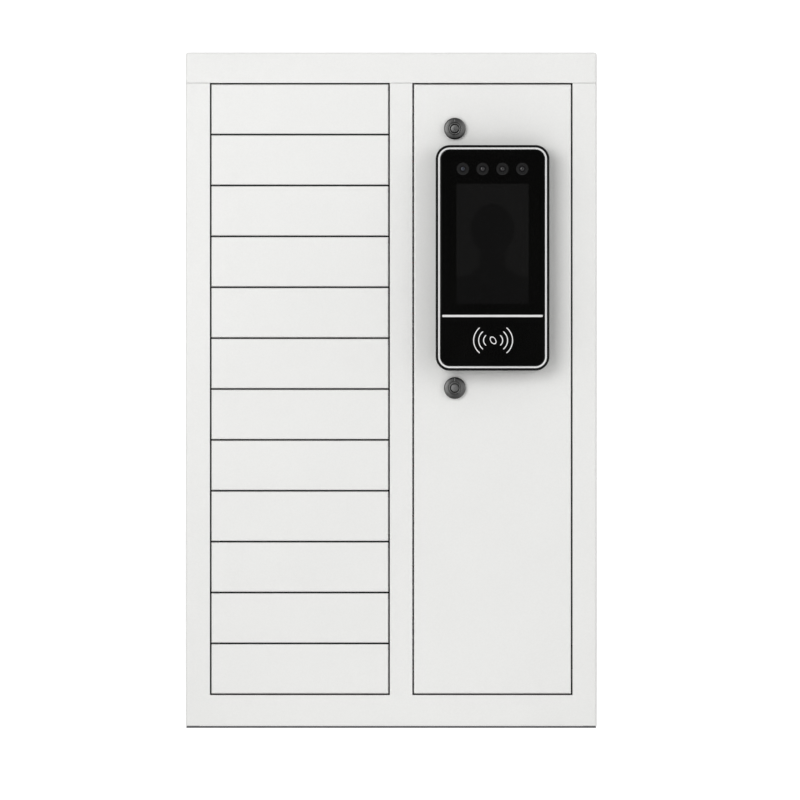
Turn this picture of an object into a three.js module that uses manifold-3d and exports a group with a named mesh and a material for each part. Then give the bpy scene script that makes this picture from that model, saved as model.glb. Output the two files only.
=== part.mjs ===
// A compact parcel locker: a folded sheet-steel cabinet with a column of twelve small hinged
// compartments on the left, and on the right a tall control door that carries a face and card
// terminal and two tubular cam locks. It stands on a rubber trim or hangs on a wall.
//
// Units are millimetres, +Z is up, and the front faces -Y. The origin is at the middle of the
// base, half way between the terminal's face and the back panel.

import * as THREE from "three";
import { mergeVertices } from "three/addons/utils/BufferGeometryUtils.js";
import Module from "manifold-3d";

const wasm = await Module();
wasm.setup();

// ---------------------------------------------------------------- driving dimensions
const WIDTH = 370;
const HEIGHT = 608;
const BODY_DEPTH = 200; // front frame to back panel
const TERMINAL_PROUD = 24; // terminal's face in front of the doors
const SHEET = 1.2; // folded steel sheet
const SEAM = 0.3; // gap between pieces that touch
const DOOR_GAP = 1.4; // visible gap round every door
const BEND = 2.4; // outer radius of the cabinet's folded edges
const PAST = 5; // how far a cutting tool runs past the face it cuts

const COMPARTMENTS = 12;
const DOOR_PITCH = 45.8;
const OUTER_POST = 21.8;
const COLUMN_OPENING = 162;
const CENTRE_POST = 20.2;
const COVER_SKIRT = 27.4;
const TRIM_SPACE = 2; // height of the rubber trim under the sheet metal

// ---------------------------------------------------------------- places that follow from them
const RIGHT = WIDTH / 2;
const LEFT = -RIGHT;
const FRONT = -(BODY_DEPTH - TERMINAL_PROUD) / 2;
const BACK = FRONT + BODY_DEPTH;
const OPENING_TOP = HEIGHT - COVER_SKIRT;
const OPENING_BOTTOM = OPENING_TOP - COMPARTMENTS * DOOR_PITCH - DOOR_GAP;
const PANEL_TOP = OPENING_TOP - SEAM;
const COLUMN = [LEFT + OUTER_POST, LEFT + OUTER_POST + COLUMN_OPENING];
const BAY = [COLUMN[1] + CENTRE_POST, RIGHT - OUTER_POST];
const BEHIND_FACE = FRONT + SHEET + SEAM; // first plane clear of the front sheet's back
const BEFORE_BACK = BACK - SHEET - SEAM; // last plane clear of the back panel's front
const INSIDE_X = RIGHT - SHEET - SEAM; // last plane clear of a side panel's inner face

// Frame
const RETURN_DEPTH = 24; // folded returns round the two windows
const SIDE_FLANGE = 15; // how far the frame wraps round the cabinet's sides
const TONGUE_TOP = OPENING_TOP + 19; // tongues behind the cover's skirt
const TONGUE_LAP = 10; // how far a side panel's tongue reaches behind the frame's flange
const REAR_FLANGE = 16; // side panels' flanges in front of the back panel
const UPSTAND = RIGHT - REAR_FLANGE - 4; // half the width of the back panel's upstand

// Doors and their pivots
const DOOR_DEPTH = 16;
const DOOR_BEND = 1.5;
const DOOR_HEIGHT = DOOR_PITCH - DOOR_GAP;
const DOOR_WIDTH = COLUMN_OPENING - 2 * DOOR_GAP;
const BAY_DOOR_WIDTH = BAY[1] - BAY[0] - 2 * DOOR_GAP;
const BAY_DOOR_HEIGHT = OPENING_TOP - OPENING_BOTTOM - 2 * DOOR_GAP;
const PIVOT_INSET = 4; // pivot axis behind the door's face and inside its edge
const PIVOT_Y = FRONT + PIVOT_INSET;
const PIVOT_X = COLUMN[0] + DOOR_GAP + PIVOT_INSET;
const BAY_PIVOT_X = BAY[1] - DOOR_GAP - PIVOT_INSET;
const PIN_RADIUS = 1.25;
const PIN_LENGTH = 5;
const LUG_HOLE_RADIUS = 1.4;
const LUG_HALF_WIDTH = 2.1;
const LUG_RELIEF = 1.5; // the lug's neck is narrower where the open door's edge passes it
const LUG_INSET = SHEET + SEAM; // door's end to the near face of its lug
const LUG_NECK = 8; // length of the lug's narrow part behind the pivot axis
const NOTCH = 9; // cut in the hinge-side flange at each end, clear of the lug
const STRIP = [FRONT + 18, FRONT + 30]; // depth range of the hinge strip's web

// Electric locks on the partition, and the strikes on the doors
const PARTITION_X = [3.4, 3.4 + SHEET];
const PARTITION_FLANGE = 13;
const LOCK_RIGHT = PARTITION_X[0] - SEAM;
const LOCK_FRONT = FRONT + 25.5;
const LOCK = { wide: 16.1, deep: 48, high: 35, nose: 22 };
const MOUTH = { x: [-11.9, -5.9], deep: 18, high: 16 };
const PLUG_IN = { y: [34, 42], high: 8, reach: 9 };
const STRIKE = { x: [149.8, 151.8], deep: 34, high: 12, foot: 10 };

// Shelves
const SHELF_FRONT = FRONT + 18;
const SHELF_BACK = BACK - 3.3;
const SHELF_LEFT = LEFT + 3;
const SHELF_LIP = 6;
const SHELF_FLANGE = 8;

// Control door's fittings
const LOCK_X = 57.2;
const UPPER_LOCK_Z = 539.4;
const LOWER_LOCK_Z = 306;
const TERMINAL_X = (BAY[0] + BAY[1]) / 2;
const TERMINAL_Z = 423;
const TERMINAL = { wide: 102.2, high: 202.8, corner: 12.6, rim: 1.7, ring: 2.15 };
const BOSS = { wide: 60, high: 100, deep: 18 }; // terminal's rear box, through the door

const ROUND = 32; // sides of a turned piece
const FINE = 12; // sides of a small pin or hole
const ARC = 3; // three.js curve segments: a quarter arc gets twice as many

// ---------------------------------------------------------------- solids from three.js geometry
function solid(geometry) {
  const bare = geometry.clone();
  bare.deleteAttribute("normal");
  bare.deleteAttribute("uv");
  const merged = mergeVertices(bare, 1e-4);
  const mesh = new wasm.Mesh({
    numProp: 3,
    vertProperties: merged.attributes.position.array,
    triVerts: new Uint32Array(merged.index.array),
  });
  return new wasm.Manifold(mesh);
}

function geometryOf(manifold) {
  const { vertProperties, triVerts } = manifold.getMesh();
  const geometry = new THREE.BufferGeometry();
  geometry.setAttribute("position", new THREE.BufferAttribute(vertProperties, 3));
  geometry.setIndex(new THREE.BufferAttribute(triVerts, 1));
  geometry.computeVertexNormals();
  return geometry;
}

const union = (...solids) => solids.reduce((all, one) => all.add(one));

// A block between two values on each axis, given in either order.
function block(x, y, z) {
  const size = [x, y, z].map(([a, b]) => Math.abs(b - a));
  const middle = [x, y, z].map(([a, b]) => (a + b) / 2);
  return solid(new THREE.BoxGeometry(...size).translate(...middle));
}

// A flat outline in X and Y, extruded from one height to another.
function prismZ(shape, [low, high]) {
  const geometry = new THREE.ExtrudeGeometry(shape, {
    depth: high - low,
    bevelEnabled: false,
    curveSegments: ARC,
  });
  return solid(geometry.translate(0, 0, low));
}

// A flat outline in X and Z, extruded from one depth to another.
function prismY(shape, [near, far]) {
  const geometry = new THREE.ExtrudeGeometry(shape, {
    depth: far - near,
    bevelEnabled: false,
    curveSegments: ARC,
  });
  return solid(geometry.rotateX(Math.PI / 2).translate(0, far, 0));
}

// A flat outline in Y and Z, extruded from one side to the other.
function prismX(shape, [low, high]) {
  const geometry = new THREE.ExtrudeGeometry(shape, {
    depth: high - low,
    bevelEnabled: false,
    curveSegments: ARC,
  });
  const turn = new THREE.Matrix4().set(0, 0, 1, low, 1, 0, 0, 0, 0, 1, 0, 0, 0, 0, 0, 1);
  return solid(geometry.applyMatrix4(turn));
}

function rodY(radius, [near, far], x = 0, z = 0, sides = ROUND) {
  const rod = new THREE.CylinderGeometry(radius, radius, far - near, sides);
  return solid(rod.translate(x, (near + far) / 2, z));
}

function rodZ(radius, [low, high], x = 0, y = 0, sides = FINE) {
  const rod = new THREE.CylinderGeometry(radius, radius, high - low, sides);
  return solid(rod.rotateX(Math.PI / 2).translate(x, y, (low + high) / 2));
}

// A profile of [radius, y] points turned about the Y axis; it runs from -Y to +Y outside.
function turned(profile) {
  const points = profile.map(([radius, y]) => new THREE.Vector2(radius, y));
  return solid(new THREE.LatheGeometry(points, ROUND));
}

function outline(points) {
  return new THREE.Shape(points.map(([x, y]) => new THREE.Vector2(x, y)));
}

// A rectangle about (0, 0); radii are those of its four corners, from lower left, anticlockwise.
function roundedRect(wide, high, [lowerLeft, lowerRight, upperRight, upperLeft]) {
  const [x, y] = [wide / 2, high / 2];
  const shape = new THREE.Shape();
  shape.moveTo(-x, -y + lowerLeft);
  if (lowerLeft) shape.absarc(-x + lowerLeft, -y + lowerLeft, lowerLeft, Math.PI, Math.PI * 1.5);
  else shape.lineTo(-x, -y);
  if (lowerRight) shape.absarc(x - lowerRight, -y + lowerRight, lowerRight, -Math.PI / 2, 0);
  else shape.lineTo(x, -y);
  if (upperRight) shape.absarc(x - upperRight, y - upperRight, upperRight, 0, Math.PI / 2);
  else shape.lineTo(x, y);
  if (upperLeft) shape.absarc(-x + upperLeft, y - upperLeft, upperLeft, Math.PI / 2, Math.PI);
  else shape.lineTo(-x, y);
  return shape;
}

const evenRect = (wide, high, radius) => roundedRect(wide, high, [radius, radius, radius, radius]);

const shifted = (shape, x, y) => outline(shape.getPoints(ARC).map((p) => [p.x + x, p.y + y]));

// ---------------------------------------------------------------- materials
function material(color, roughness, metalness) {
  return new THREE.MeshStandardMaterial({ color, roughness, metalness });
}

const paint = material(0xebebe9, 0.5, 0);
const doorPaint = material(0xebebe9, 0.48, 0);
const zinc = material(0xb9bbbd, 0.4, 0.9);
const gunmetal = material(0x4b4c4b, 0.42, 0.85);
const rubber = material(0x55565a, 0.85, 0);
const blackPlastic = material(0x0b0b0a, 0.4, 0);
const blackGlass = material(0x070707, 0.08, 0);
const silver = material(0xdfe0e0, 0.25, 0.9);
const display = material(0x151515, 0.2, 0);
const lens = material(0x22242a, 0.12, 0);
const lightGuide = material(0xf4f4f4, 0.35, 0);
const circuit = material(0x1d5a37, 0.5, 0);
const casing = material(0xa9adaf, 0.45, 0.85);
const inletPlastic = material(0x18181a, 0.5, 0);

// ---------------------------------------------------------------- cabinet
// The face and its wrapped sides are one sheet, seen from above as a shallow U.
function frameChannel() {
  const end = FRONT + SIDE_FLANGE;
  const inner = BEND - SHEET;
  const shape = new THREE.Shape();
  shape.moveTo(LEFT, end);
  shape.absarc(LEFT + BEND, FRONT + BEND, BEND, Math.PI, Math.PI * 1.5);
  shape.absarc(RIGHT - BEND, FRONT + BEND, BEND, -Math.PI / 2, 0);
  shape.lineTo(RIGHT, end);
  shape.lineTo(RIGHT - SHEET, end);
  shape.absarc(RIGHT - BEND, FRONT + BEND, inner, 0, -Math.PI / 2, true);
  shape.absarc(LEFT + BEND, FRONT + BEND, inner, Math.PI * 1.5, Math.PI, true);
  shape.lineTo(LEFT + SHEET, end);
  return prismZ(shape, [TRIM_SPACE, PANEL_TOP]);
}

// The folded edges round one window: two uprights, a sill and a head behind the cover's skirt.
function windowReturns([left, right]) {
  const deep = [FRONT, FRONT + RETURN_DEPTH];
  const shallow = [BEHIND_FACE, FRONT + RETURN_DEPTH];
  const uprights = [
    [left - SHEET, left],
    [right, right + SHEET],
  ].map((x) =>
    union(
      block(x, deep, [OPENING_BOTTOM - SHEET, PANEL_TOP]),
      block(x, shallow, [PANEL_TOP - SHEET, TONGUE_TOP]),
    ),
  );
  const across = [left - SHEET, right + SHEET];
  const sill = block(across, deep, [OPENING_BOTTOM - SHEET, OPENING_BOTTOM]);
  const head = block(across, [BEHIND_FACE, FRONT + 14], [OPENING_TOP, OPENING_TOP + SHEET]);
  return union(...uprights, sill, head);
}

function frontFrame() {
  const windowCut = (x) => block(x, [FRONT - PAST, FRONT + PAST], [OPENING_BOTTOM, HEIGHT]);
  const lowerEdge = block(
    [LEFT + BEND, RIGHT - BEND],
    [FRONT, FRONT + SIDE_FLANGE],
    [TRIM_SPACE, TRIM_SPACE + SHEET],
  );
  const topRail = block(
    [1 - INSIDE_X, INSIDE_X - 1],
    [BEHIND_FACE, BEHIND_FACE + SHEET],
    [OPENING_TOP, TONGUE_TOP],
  );
  const sheet = frameChannel().subtract(windowCut(COLUMN)).subtract(windowCut(BAY));
  return union(sheet, lowerEdge, topRail, windowReturns(COLUMN), windowReturns(BAY));
}

// side is -1 for the left panel and 1 for the right one.
function sidePanel(side) {
  const x = (a, b) => [side * a, side * b];
  const start = FRONT + SIDE_FLANGE + SEAM;
  const tongue = x(INSIDE_X - SHEET, INSIDE_X);
  const joggle = x(INSIDE_X - SHEET, RIGHT);
  const high = [TRIM_SPACE, PANEL_TOP];
  return union(
    block(x(RIGHT - SHEET, RIGHT), [start, BEFORE_BACK], high),
    block(x(RIGHT - REAR_FLANGE, RIGHT), [BEFORE_BACK - SHEET, BEFORE_BACK], high),
    block(joggle, [start, start + SHEET], [TRIM_SPACE + SHEET, PANEL_TOP]),
    block(tongue, [start - TONGUE_LAP, start + SHEET], [TRIM_SPACE + 3, PANEL_TOP]),
    block(joggle, [start, BEFORE_BACK - 6], [PANEL_TOP - SHEET, PANEL_TOP]),
    block(tongue, [start, BEFORE_BACK - 6], [PANEL_TOP - SHEET, TONGUE_TOP]),
  );
}

const INLET = { y: FRONT + 168, z: 62, wide: 40, high: 22, deep: 27, flange: 2.2, lap: 3 };
const SOCKET = { wide: 22, high: 15, deep: 15 };

function rightSidePanel() {
  const [y, z] = [INLET.wide / 2, INLET.high / 2];
  const cut = block(
    [RIGHT - PAST, RIGHT + PAST],
    [INLET.y - y, INLET.y + y],
    [INLET.z - z, INLET.z + z],
  );
  return sidePanel(1).subtract(cut);
}

// Height of the middle of a compartment, counted from the top.
const compartmentZ = (row) => OPENING_TOP - DOOR_GAP / 2 - DOOR_PITCH * (row - 0.5);
const WALL_HOLE = { x: 130, radius: 4.5, rows: [2, 11] };

function backPanel() {
  const upstand = [-UPSTAND, UPSTAND];
  const sheet = union(
    block([LEFT, RIGHT], [BACK - SHEET, BACK], [TRIM_SPACE, PANEL_TOP]),
    block(upstand, [BEFORE_BACK - SHEET, BACK], [PANEL_TOP - SHEET, PANEL_TOP]),
    block(upstand, [BEFORE_BACK - SHEET, BEFORE_BACK], [PANEL_TOP - SHEET, TONGUE_TOP]),
  );
  const through = [BACK - PAST, BACK + PAST];
  const holes = WALL_HOLE.rows.flatMap((row) =>
    [-WALL_HOLE.x, WALL_HOLE.x].map((x) =>
      rodY(WALL_HOLE.radius, through, x, compartmentZ(row), FINE * 2),
    ),
  );
  return holes.reduce((panel, hole) => panel.subtract(hole), sheet);
}

// A deck at the height of the lowest compartment's floor, on four skirts that reach the trim.
function baseDeck() {
  const [near, far] = [FRONT + RETURN_DEPTH + SEAM, BACK - 3];
  const skirt = [TRIM_SPACE + SEAM, OPENING_BOTTOM];
  const across = [-INSIDE_X, INSIDE_X];
  return union(
    block(across, [near, far], [OPENING_BOTTOM - SHEET, OPENING_BOTTOM]),
    block(across, [near, near + SHEET], skirt),
    block(across, [far - SHEET, far], skirt),
    block([-INSIDE_X, -INSIDE_X + SHEET], [near, far], skirt),
    block([INSIDE_X - SHEET, INSIDE_X], [near, far], skirt),
  );
}

// A flat rubber ring under the sheet edges, just inside the cabinet's outline.
function baseTrim() {
  const [inset, wide] = [0.6, 11];
  const high = [0, TRIM_SPACE - SEAM];
  const ring = (edge, z) => block([LEFT + edge, RIGHT - edge], [FRONT + edge, BACK - edge], z);
  return ring(inset, high).subtract(ring(inset + wide, [-PAST, PAST]));
}

// A block with its upright corners and its top edges rounded, as a deep-drawn lid has.
function lidBlock(inset, low, radius) {
  const [wide, deep] = [WIDTH - 2 * inset, BODY_DEPTH - 2 * inset];
  const [middle, top] = [(FRONT + BACK) / 2, HEIGHT - inset];
  const high = 2 * (top - low); // outlines are centred on the lower face, and only their top shows
  const crown = [0, 0, radius, radius];
  return prismZ(shifted(evenRect(wide, deep, radius), 0, middle), [low, top])
    .intersect(prismX(shifted(roundedRect(deep, high, crown), middle, low), [LEFT, RIGHT]))
    .intersect(prismY(shifted(roundedRect(wide, high, crown), 0, low), [FRONT, BACK]));
}

function topCover() {
  return lidBlock(0, OPENING_TOP, BEND).subtract(lidBlock(SHEET, OPENING_TOP - PAST, SHEET));
}

function centrePartition() {
  const deep = [FRONT + PIVOT_INSET, SHELF_BACK + SEAM];
  const foot = OPENING_BOTTOM + SEAM;
  const flange = [PARTITION_X[0], PARTITION_X[0] + PARTITION_FLANGE];
  const behindPost = FRONT + RETURN_DEPTH + 4;
  const plate = union(
    block(PARTITION_X, deep, [foot, HEIGHT - SHEET - SEAM]),
    block(flange, [deep[1] - SHEET, deep[1]], [foot, PANEL_TOP - 6]),
    block(flange, [behindPost, deep[1] - 4], [foot, foot + SHEET]),
  );
  const [near, far] = PLUG_IN.y.map((y) => LOCK_FRONT + y);
  const half = PLUG_IN.high / 2 + 0.4;
  const x = [PARTITION_X[0] - PAST, PARTITION_X[1] + PAST];
  let partition = plate;
  for (let row = 1; row <= COMPARTMENTS; row++) {
    const z = compartmentZ(row);
    partition = partition.subtract(block(x, [near - 0.4, far + 0.4], [z - half, z + half]));
  }
  return partition;
}

// A shelf's plate, cut away at its front corners for the posts and the hinge strip.
function shelf() {
  const besideStrip = PIVOT_X + LUG_HALF_WIDTH + 1.2;
  const besidePost = COLUMN[1] - 0.6;
  const behindStrip = STRIP[1] + 1;
  const behindPost = FRONT + RETURN_DEPTH + 0.6;
  const plate = outline([
    [besideStrip, SHELF_FRONT],
    [besidePost, SHELF_FRONT],
    [besidePost, behindPost],
    [LOCK_RIGHT, behindPost],
    [LOCK_RIGHT, SHELF_BACK],
    [SHELF_LEFT, SHELF_BACK],
    [SHELF_LEFT, behindStrip],
    [besideStrip, behindStrip],
  ]);
  const half = SHEET / 2;
  const flange = [-SHELF_FLANGE, half];
  const behindLock = LOCK_FRONT + LOCK.deep + 6;
  return union(
    prismZ(plate, [-half, half]),
    block([besideStrip, besidePost], [SHELF_FRONT, SHELF_FRONT + SHEET], [-SHELF_LIP, half]),
    block([SHELF_LEFT, SHELF_LEFT + SHEET], [behindStrip, SHELF_BACK - 8], flange),
    block([LOCK_RIGHT - SHEET, LOCK_RIGHT], [behindLock, SHELF_BACK - 8], flange),
  );
}

// ---------------------------------------------------------------- pivots
// A lug that reaches forward from the strip to the pivot axis, which is at (0, 0). side is 1
// where the door lies towards +X and -1 where it lies towards -X.
function lug(side, z) {
  const height = [z - SHEET / 2, z + SHEET / 2];
  const webX = -PIVOT_INSET - DOOR_GAP + SEAM;
  const webY = STRIP[0] - PIVOT_Y;
  const arm = block([side * webX, side * LUG_HALF_WIDTH], [LUG_NECK, webY + PAST], height);
  const neck = block([-side * LUG_RELIEF, side * LUG_HALF_WIDTH], [0, LUG_NECK + 1], height);
  const nose = rodZ(LUG_HALF_WIDTH, height);
  return union(arm, neck, nose).subtract(rodZ(LUG_HOLE_RADIUS, [z - PAST, z + PAST]));
}

// The strip's web, with one lug at each given height.
function hingeStrip(side, [low, high], lugHeights) {
  const web = [-PIVOT_INSET - DOOR_GAP + SEAM, -PIVOT_INSET - DOOR_GAP + SEAM + SHEET];
  const x = web.map((value) => side * value);
  const y = STRIP.map((value) => value - PIVOT_Y);
  return union(block(x, y, [low, high]), ...lugHeights.map((z) => lug(side, z)));
}

// Heights of the two lugs of a door of that height, centred on z.
function lugPair(z, height) {
  const reach = height / 2 - LUG_INSET - SHEET / 2;
  return [z - reach, z + reach];
}

// ---------------------------------------------------------------- doors
// A folded tray with its open side at the back. Its pivot axis is at (0, 0), it is centred on
// z = 0, and side says which way it reaches from the pivots.
function doorTray(wide, high, side) {
  const middle = side * (wide / 2 - PIVOT_INSET);
  const depthMiddle = DOOR_DEPTH / 2 - PIVOT_INSET;
  const plan = roundedRect(wide, DOOR_DEPTH, [DOOR_BEND, DOOR_BEND, 0, 0]);
  const section = roundedRect(DOOR_DEPTH, high, [DOOR_BEND, 0, 0, DOOR_BEND]);
  const outer = prismZ(shifted(plan, middle, depthMiddle), [-high / 2, high / 2]).intersect(
    prismX(shifted(section, depthMiddle, 0), [middle - wide / 2, middle + wide / 2]),
  );
  const [x, z] = [wide / 2 - SHEET, high / 2 - SHEET];
  const inner = [SHEET - PIVOT_INSET, DOOR_DEPTH];
  const tray = outer.subtract(block([middle - x, middle + x], inner, [-z, z]));
  const hingeFlange = [-side * (PIVOT_INSET + 1), -side * (PIVOT_INSET - SHEET - 0.1)];
  const notches = [-1, 1].map((end) =>
    block(hingeFlange, inner, [end * (high / 2 - NOTCH), end * z]),
  );
  const pins = [-1, 1].map((end) => {
    const z0 = end * (z + SHEET / 2);
    const z1 = end * (z - PIN_LENGTH);
    return rodZ(PIN_RADIUS, [Math.min(z0, z1), Math.max(z0, z1)]);
  });
  return union(tray.subtract(notches[0]).subtract(notches[1]), ...pins);
}

// The strike is welded inside the door: a foot on the sheet and an arm with a slot for the latch.
function compartmentDoor() {
  const [near, far] = [SHEET - PIVOT_INSET - 0.2, STRIKE.deep];
  const half = STRIKE.high / 2;
  const arm = block(STRIKE.x, [near, far], [-half, half]);
  const foot = block(
    [STRIKE.x[0] - STRIKE.foot, STRIKE.x[1]],
    [near, SHEET - PIVOT_INSET + 1.5],
    [-half, half],
  );
  const slot = block([STRIKE.x[0] - PAST, STRIKE.x[1] + PAST], [far - 9, far - 3], [-3.5, 3.5]);
  return union(doorTray(DOOR_WIDTH, DOOR_HEIGHT, 1), arm, foot).subtract(slot);
}

const BAY_MIDDLE_Z = (OPENING_TOP + OPENING_BOTTOM) / 2;

// The control door has a hole for each cam lock and a cut-out behind the terminal.
function controlDoor() {
  const sheetY = [-PIVOT_INSET - PAST, 0];
  const lockHoles = [UPPER_LOCK_Z, LOWER_LOCK_Z].map((z) =>
    rodY(BARREL_RADIUS + SEAM, sheetY, LOCK_X - BAY_PIVOT_X, z - BAY_MIDDLE_Z, ROUND),
  );
  const [x, z] = [TERMINAL_X - BAY_PIVOT_X, TERMINAL_Z - BAY_MIDDLE_Z];
  const [halfX, halfZ] = [BOSS.wide / 2 + 0.5, BOSS.high / 2 + 0.5];
  const cutOut = block([x - halfX, x + halfX], sheetY, [z - halfZ, z + halfZ]);
  return [...lockHoles, cutOut].reduce(
    (door, cut) => door.subtract(cut),
    doorTray(BAY_DOOR_WIDTH, BAY_DOOR_HEIGHT, -1),
  );
}

// ---------------------------------------------------------------- electric lock
// Its origin is where the mouth's plane meets the mounting face. The nose holds the latch and
// the mouth that the strike enters; the rear block holds the coil; the plug-in block reaches
// through the partition.
function electricLock() {
  const half = LOCK.high / 2;
  const nose = block([-LOCK.wide, 0], [0, LOCK.nose], [-half, half]);
  const coil = block([-LOCK.wide + 1.6, 0], [LOCK.nose - 1, LOCK.deep], [-half + 4, half - 4]);
  const [near, far] = PLUG_IN.y;
  const plugIn = block([-1, PLUG_IN.reach], [near, far], [-PLUG_IN.high / 2, PLUG_IN.high / 2]);
  const mouth = block(MOUTH.x, [-PAST, MOUTH.deep], [-MOUTH.high / 2, MOUTH.high / 2]);
  return union(nose, coil, plugIn).subtract(mouth);
}

// ---------------------------------------------------------------- cam lock
// Its axis is Y, and y = 0 is the door's face.
const BARREL_RADIUS = 7.9;
const HEAD = { radius: 9.8, thick: 4.4, chamfer: 1.2 };
const PLUG_RADIUS = 5.3;
const BORE_RADIUS = 5.6;
const BARREL_END = 24;
const CAM = { y: [25.5, 27.1], reach: 47, hub: 8.5, tip: 6 };

function camLockBarrel() {
  const face = -SEAM - HEAD.thick;
  return turned([
    [BORE_RADIUS, face],
    [HEAD.radius - HEAD.chamfer, face],
    [HEAD.radius, face + HEAD.chamfer],
    [HEAD.radius, -SEAM],
    [BARREL_RADIUS, -SEAM],
    [BARREL_RADIUS, BARREL_END],
    [BORE_RADIUS, BARREL_END],
    [BORE_RADIUS, face],
  ]);
}

// The plug turns in the barrel. Its front has the ring-shaped keyway with a nib at the top, and
// its tail carries the cam, which hangs down when the lock is open.
function camLockPlug() {
  const face = -SEAM - HEAD.thick + 0.5;
  const [groove, post, depth] = [4.3, 3.3, 2.5];
  const body = turned([
    [0, face],
    [post, face],
    [post, face + depth],
    [groove, face + depth],
    [groove, face],
    [PLUG_RADIUS, face],
    [PLUG_RADIUS, CAM.y[0] + 0.5],
    [0, CAM.y[0] + 0.5],
  ]);
  const nib = block([-0.7, 0.7], [face, face + depth + 0.1], [post - 0.2, groove + 0.2]);
  const arm = outline([
    [-CAM.hub, 0],
    [-CAM.tip, CAM.tip - CAM.reach],
    [-CAM.tip + 2, -CAM.reach],
    [CAM.tip - 2, -CAM.reach],
    [CAM.tip, CAM.tip - CAM.reach],
    [CAM.hub, 0],
  ]);
  const hub = rodY(CAM.hub, CAM.y, 0, 0, ROUND);
  const nut = rodY(5.2, [CAM.y[1] - 0.2, CAM.y[1] + 2.8], 0, 0, 6);
  return union(body, nib, prismY(arm, CAM.y), hub, nut);
}

// ---------------------------------------------------------------- terminal
// Its origin is the middle of its outline on the door's face.
const RIM_Y = -TERMINAL_PROUD + 1; // front of the black rim
const RING_Y = -TERMINAL_PROUD; // front of the silver ring, the part's foremost plane
const GLASS = { front: -TERMINAL_PROUD + 0.5, thick: 3 };
const SCREEN = { wide: 64.8, high: 108, z: 12.6 };
const LIGHT_BAR = { wide: 90.4, high: 2.3, z: -52.4, deep: 1.6 };
const CAMERAS = { z: 80, pitch: 17.8, radius: 5.5 };

const insetRect = (inset) =>
  evenRect(TERMINAL.wide - 2 * inset, TERMINAL.high - 2 * inset, TERMINAL.corner - inset);

function terminalHousing() {
  const shell = prismY(insetRect(0), [RIM_Y, -SEAM]);
  const ringSeat = prismY(insetRect(TERMINAL.rim), [RIM_Y - PAST, RIM_Y + 5]);
  const hollow = prismY(insetRect(TERMINAL.rim + 3), [RIM_Y - PAST, -3]);
  const boss = block(
    [-BOSS.wide / 2, BOSS.wide / 2],
    [-1, BOSS.deep],
    [-BOSS.high / 2, BOSS.high / 2],
  );
  const bossHollow = block(
    [-BOSS.wide / 2 + 2, BOSS.wide / 2 - 2],
    [-PAST, BOSS.deep - 2],
    [-BOSS.high / 2 + 2, BOSS.high / 2 - 2],
  );
  return union(shell, boss).subtract(ringSeat).subtract(hollow).subtract(bossHollow);
}

function terminalRing() {
  const outer = prismY(insetRect(TERMINAL.rim + SEAM), [RING_Y, RIM_Y + 4.6]);
  const inside = insetRect(TERMINAL.rim + TERMINAL.ring);
  return outer.subtract(prismY(inside, [RING_Y - PAST, RIM_Y + 4.6 + PAST]));
}

function terminalGlass() {
  const pane = prismY(insetRect(TERMINAL.rim + TERMINAL.ring + SEAM), [
    GLASS.front,
    GLASS.front + GLASS.thick,
  ]);
  const [x, z] = [LIGHT_BAR.wide / 2 + SEAM, LIGHT_BAR.high / 2 + SEAM];
  const groove = [GLASS.front - PAST, GLASS.front + LIGHT_BAR.deep + SEAM];
  return pane.subtract(block([-x, x], groove, [LIGHT_BAR.z - z, LIGHT_BAR.z + z]));
}

function terminalDisplay() {
  const back = GLASS.front + GLASS.thick + SEAM;
  const [x, z] = [SCREEN.wide / 2 + 3, SCREEN.high / 2 + 4];
  return block([-x, x], [back, back + 4.5], [SCREEN.z - z, SCREEN.z + z]);
}

// Four camera and lamp barrels on one carrier bar, behind the glass.
function terminalCameras() {
  const back = GLASS.front + GLASS.thick + SEAM;
  const { z, pitch, radius } = CAMERAS;
  const carrier = block(
    [-pitch * 2.1, pitch * 2.1],
    [back + 3, back + 5],
    [z - radius, z + radius],
  );
  const barrels = [-1.5, -0.5, 0.5, 1.5].map((step) =>
    rodY(radius, [back, back + 4], step * pitch, z, FINE * 2),
  );
  return union(carrier, ...barrels);
}

function terminalLightBar() {
  const [x, z] = [LIGHT_BAR.wide / 2, LIGHT_BAR.high / 2];
  const y = [GLASS.front - 0.1, GLASS.front + LIGHT_BAR.deep];
  return block([-x, x], y, [LIGHT_BAR.z - z, LIGHT_BAR.z + z]);
}

// ---------------------------------------------------------------- control bay
const BOARD = { x: [30, 118], z: [330, 470], thick: 1.6, gap: 10, corner: 6, spacer: 3 };
const SUPPLY = { x: [20, 119], z: [44, 126], deep: 30 };
const SUPPLY_STEP = { high: 16, deep: 12 }; // the low end that holds the terminals

// The circuit board on its four spacers.
function controlBoard() {
  const far = BEFORE_BACK - BOARD.gap;
  const plate = block(BOARD.x, [far - BOARD.thick, far], BOARD.z);
  const reach = [far - 0.5, BEFORE_BACK];
  const inFromEdges = ([low, high]) => [low + BOARD.corner, high - BOARD.corner];
  const spacers = inFromEdges(BOARD.x).flatMap((x) =>
    inFromEdges(BOARD.z).map((z) => rodY(BOARD.spacer, reach, x, z, FINE)),
  );
  return union(plate, ...spacers);
}

// A cased power supply, lower at the end that holds its terminals.
function powerSupply() {
  const near = BEFORE_BACK - SUPPLY.deep;
  const step = SUPPLY.z[0] + SUPPLY_STEP.high;
  return union(
    block(SUPPLY.x, [near, BEFORE_BACK], [step, SUPPLY.z[1]]),
    block(SUPPLY.x, [near + SUPPLY_STEP.deep, BEFORE_BACK], [SUPPLY.z[0], step + 1]),
  );
}

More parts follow.
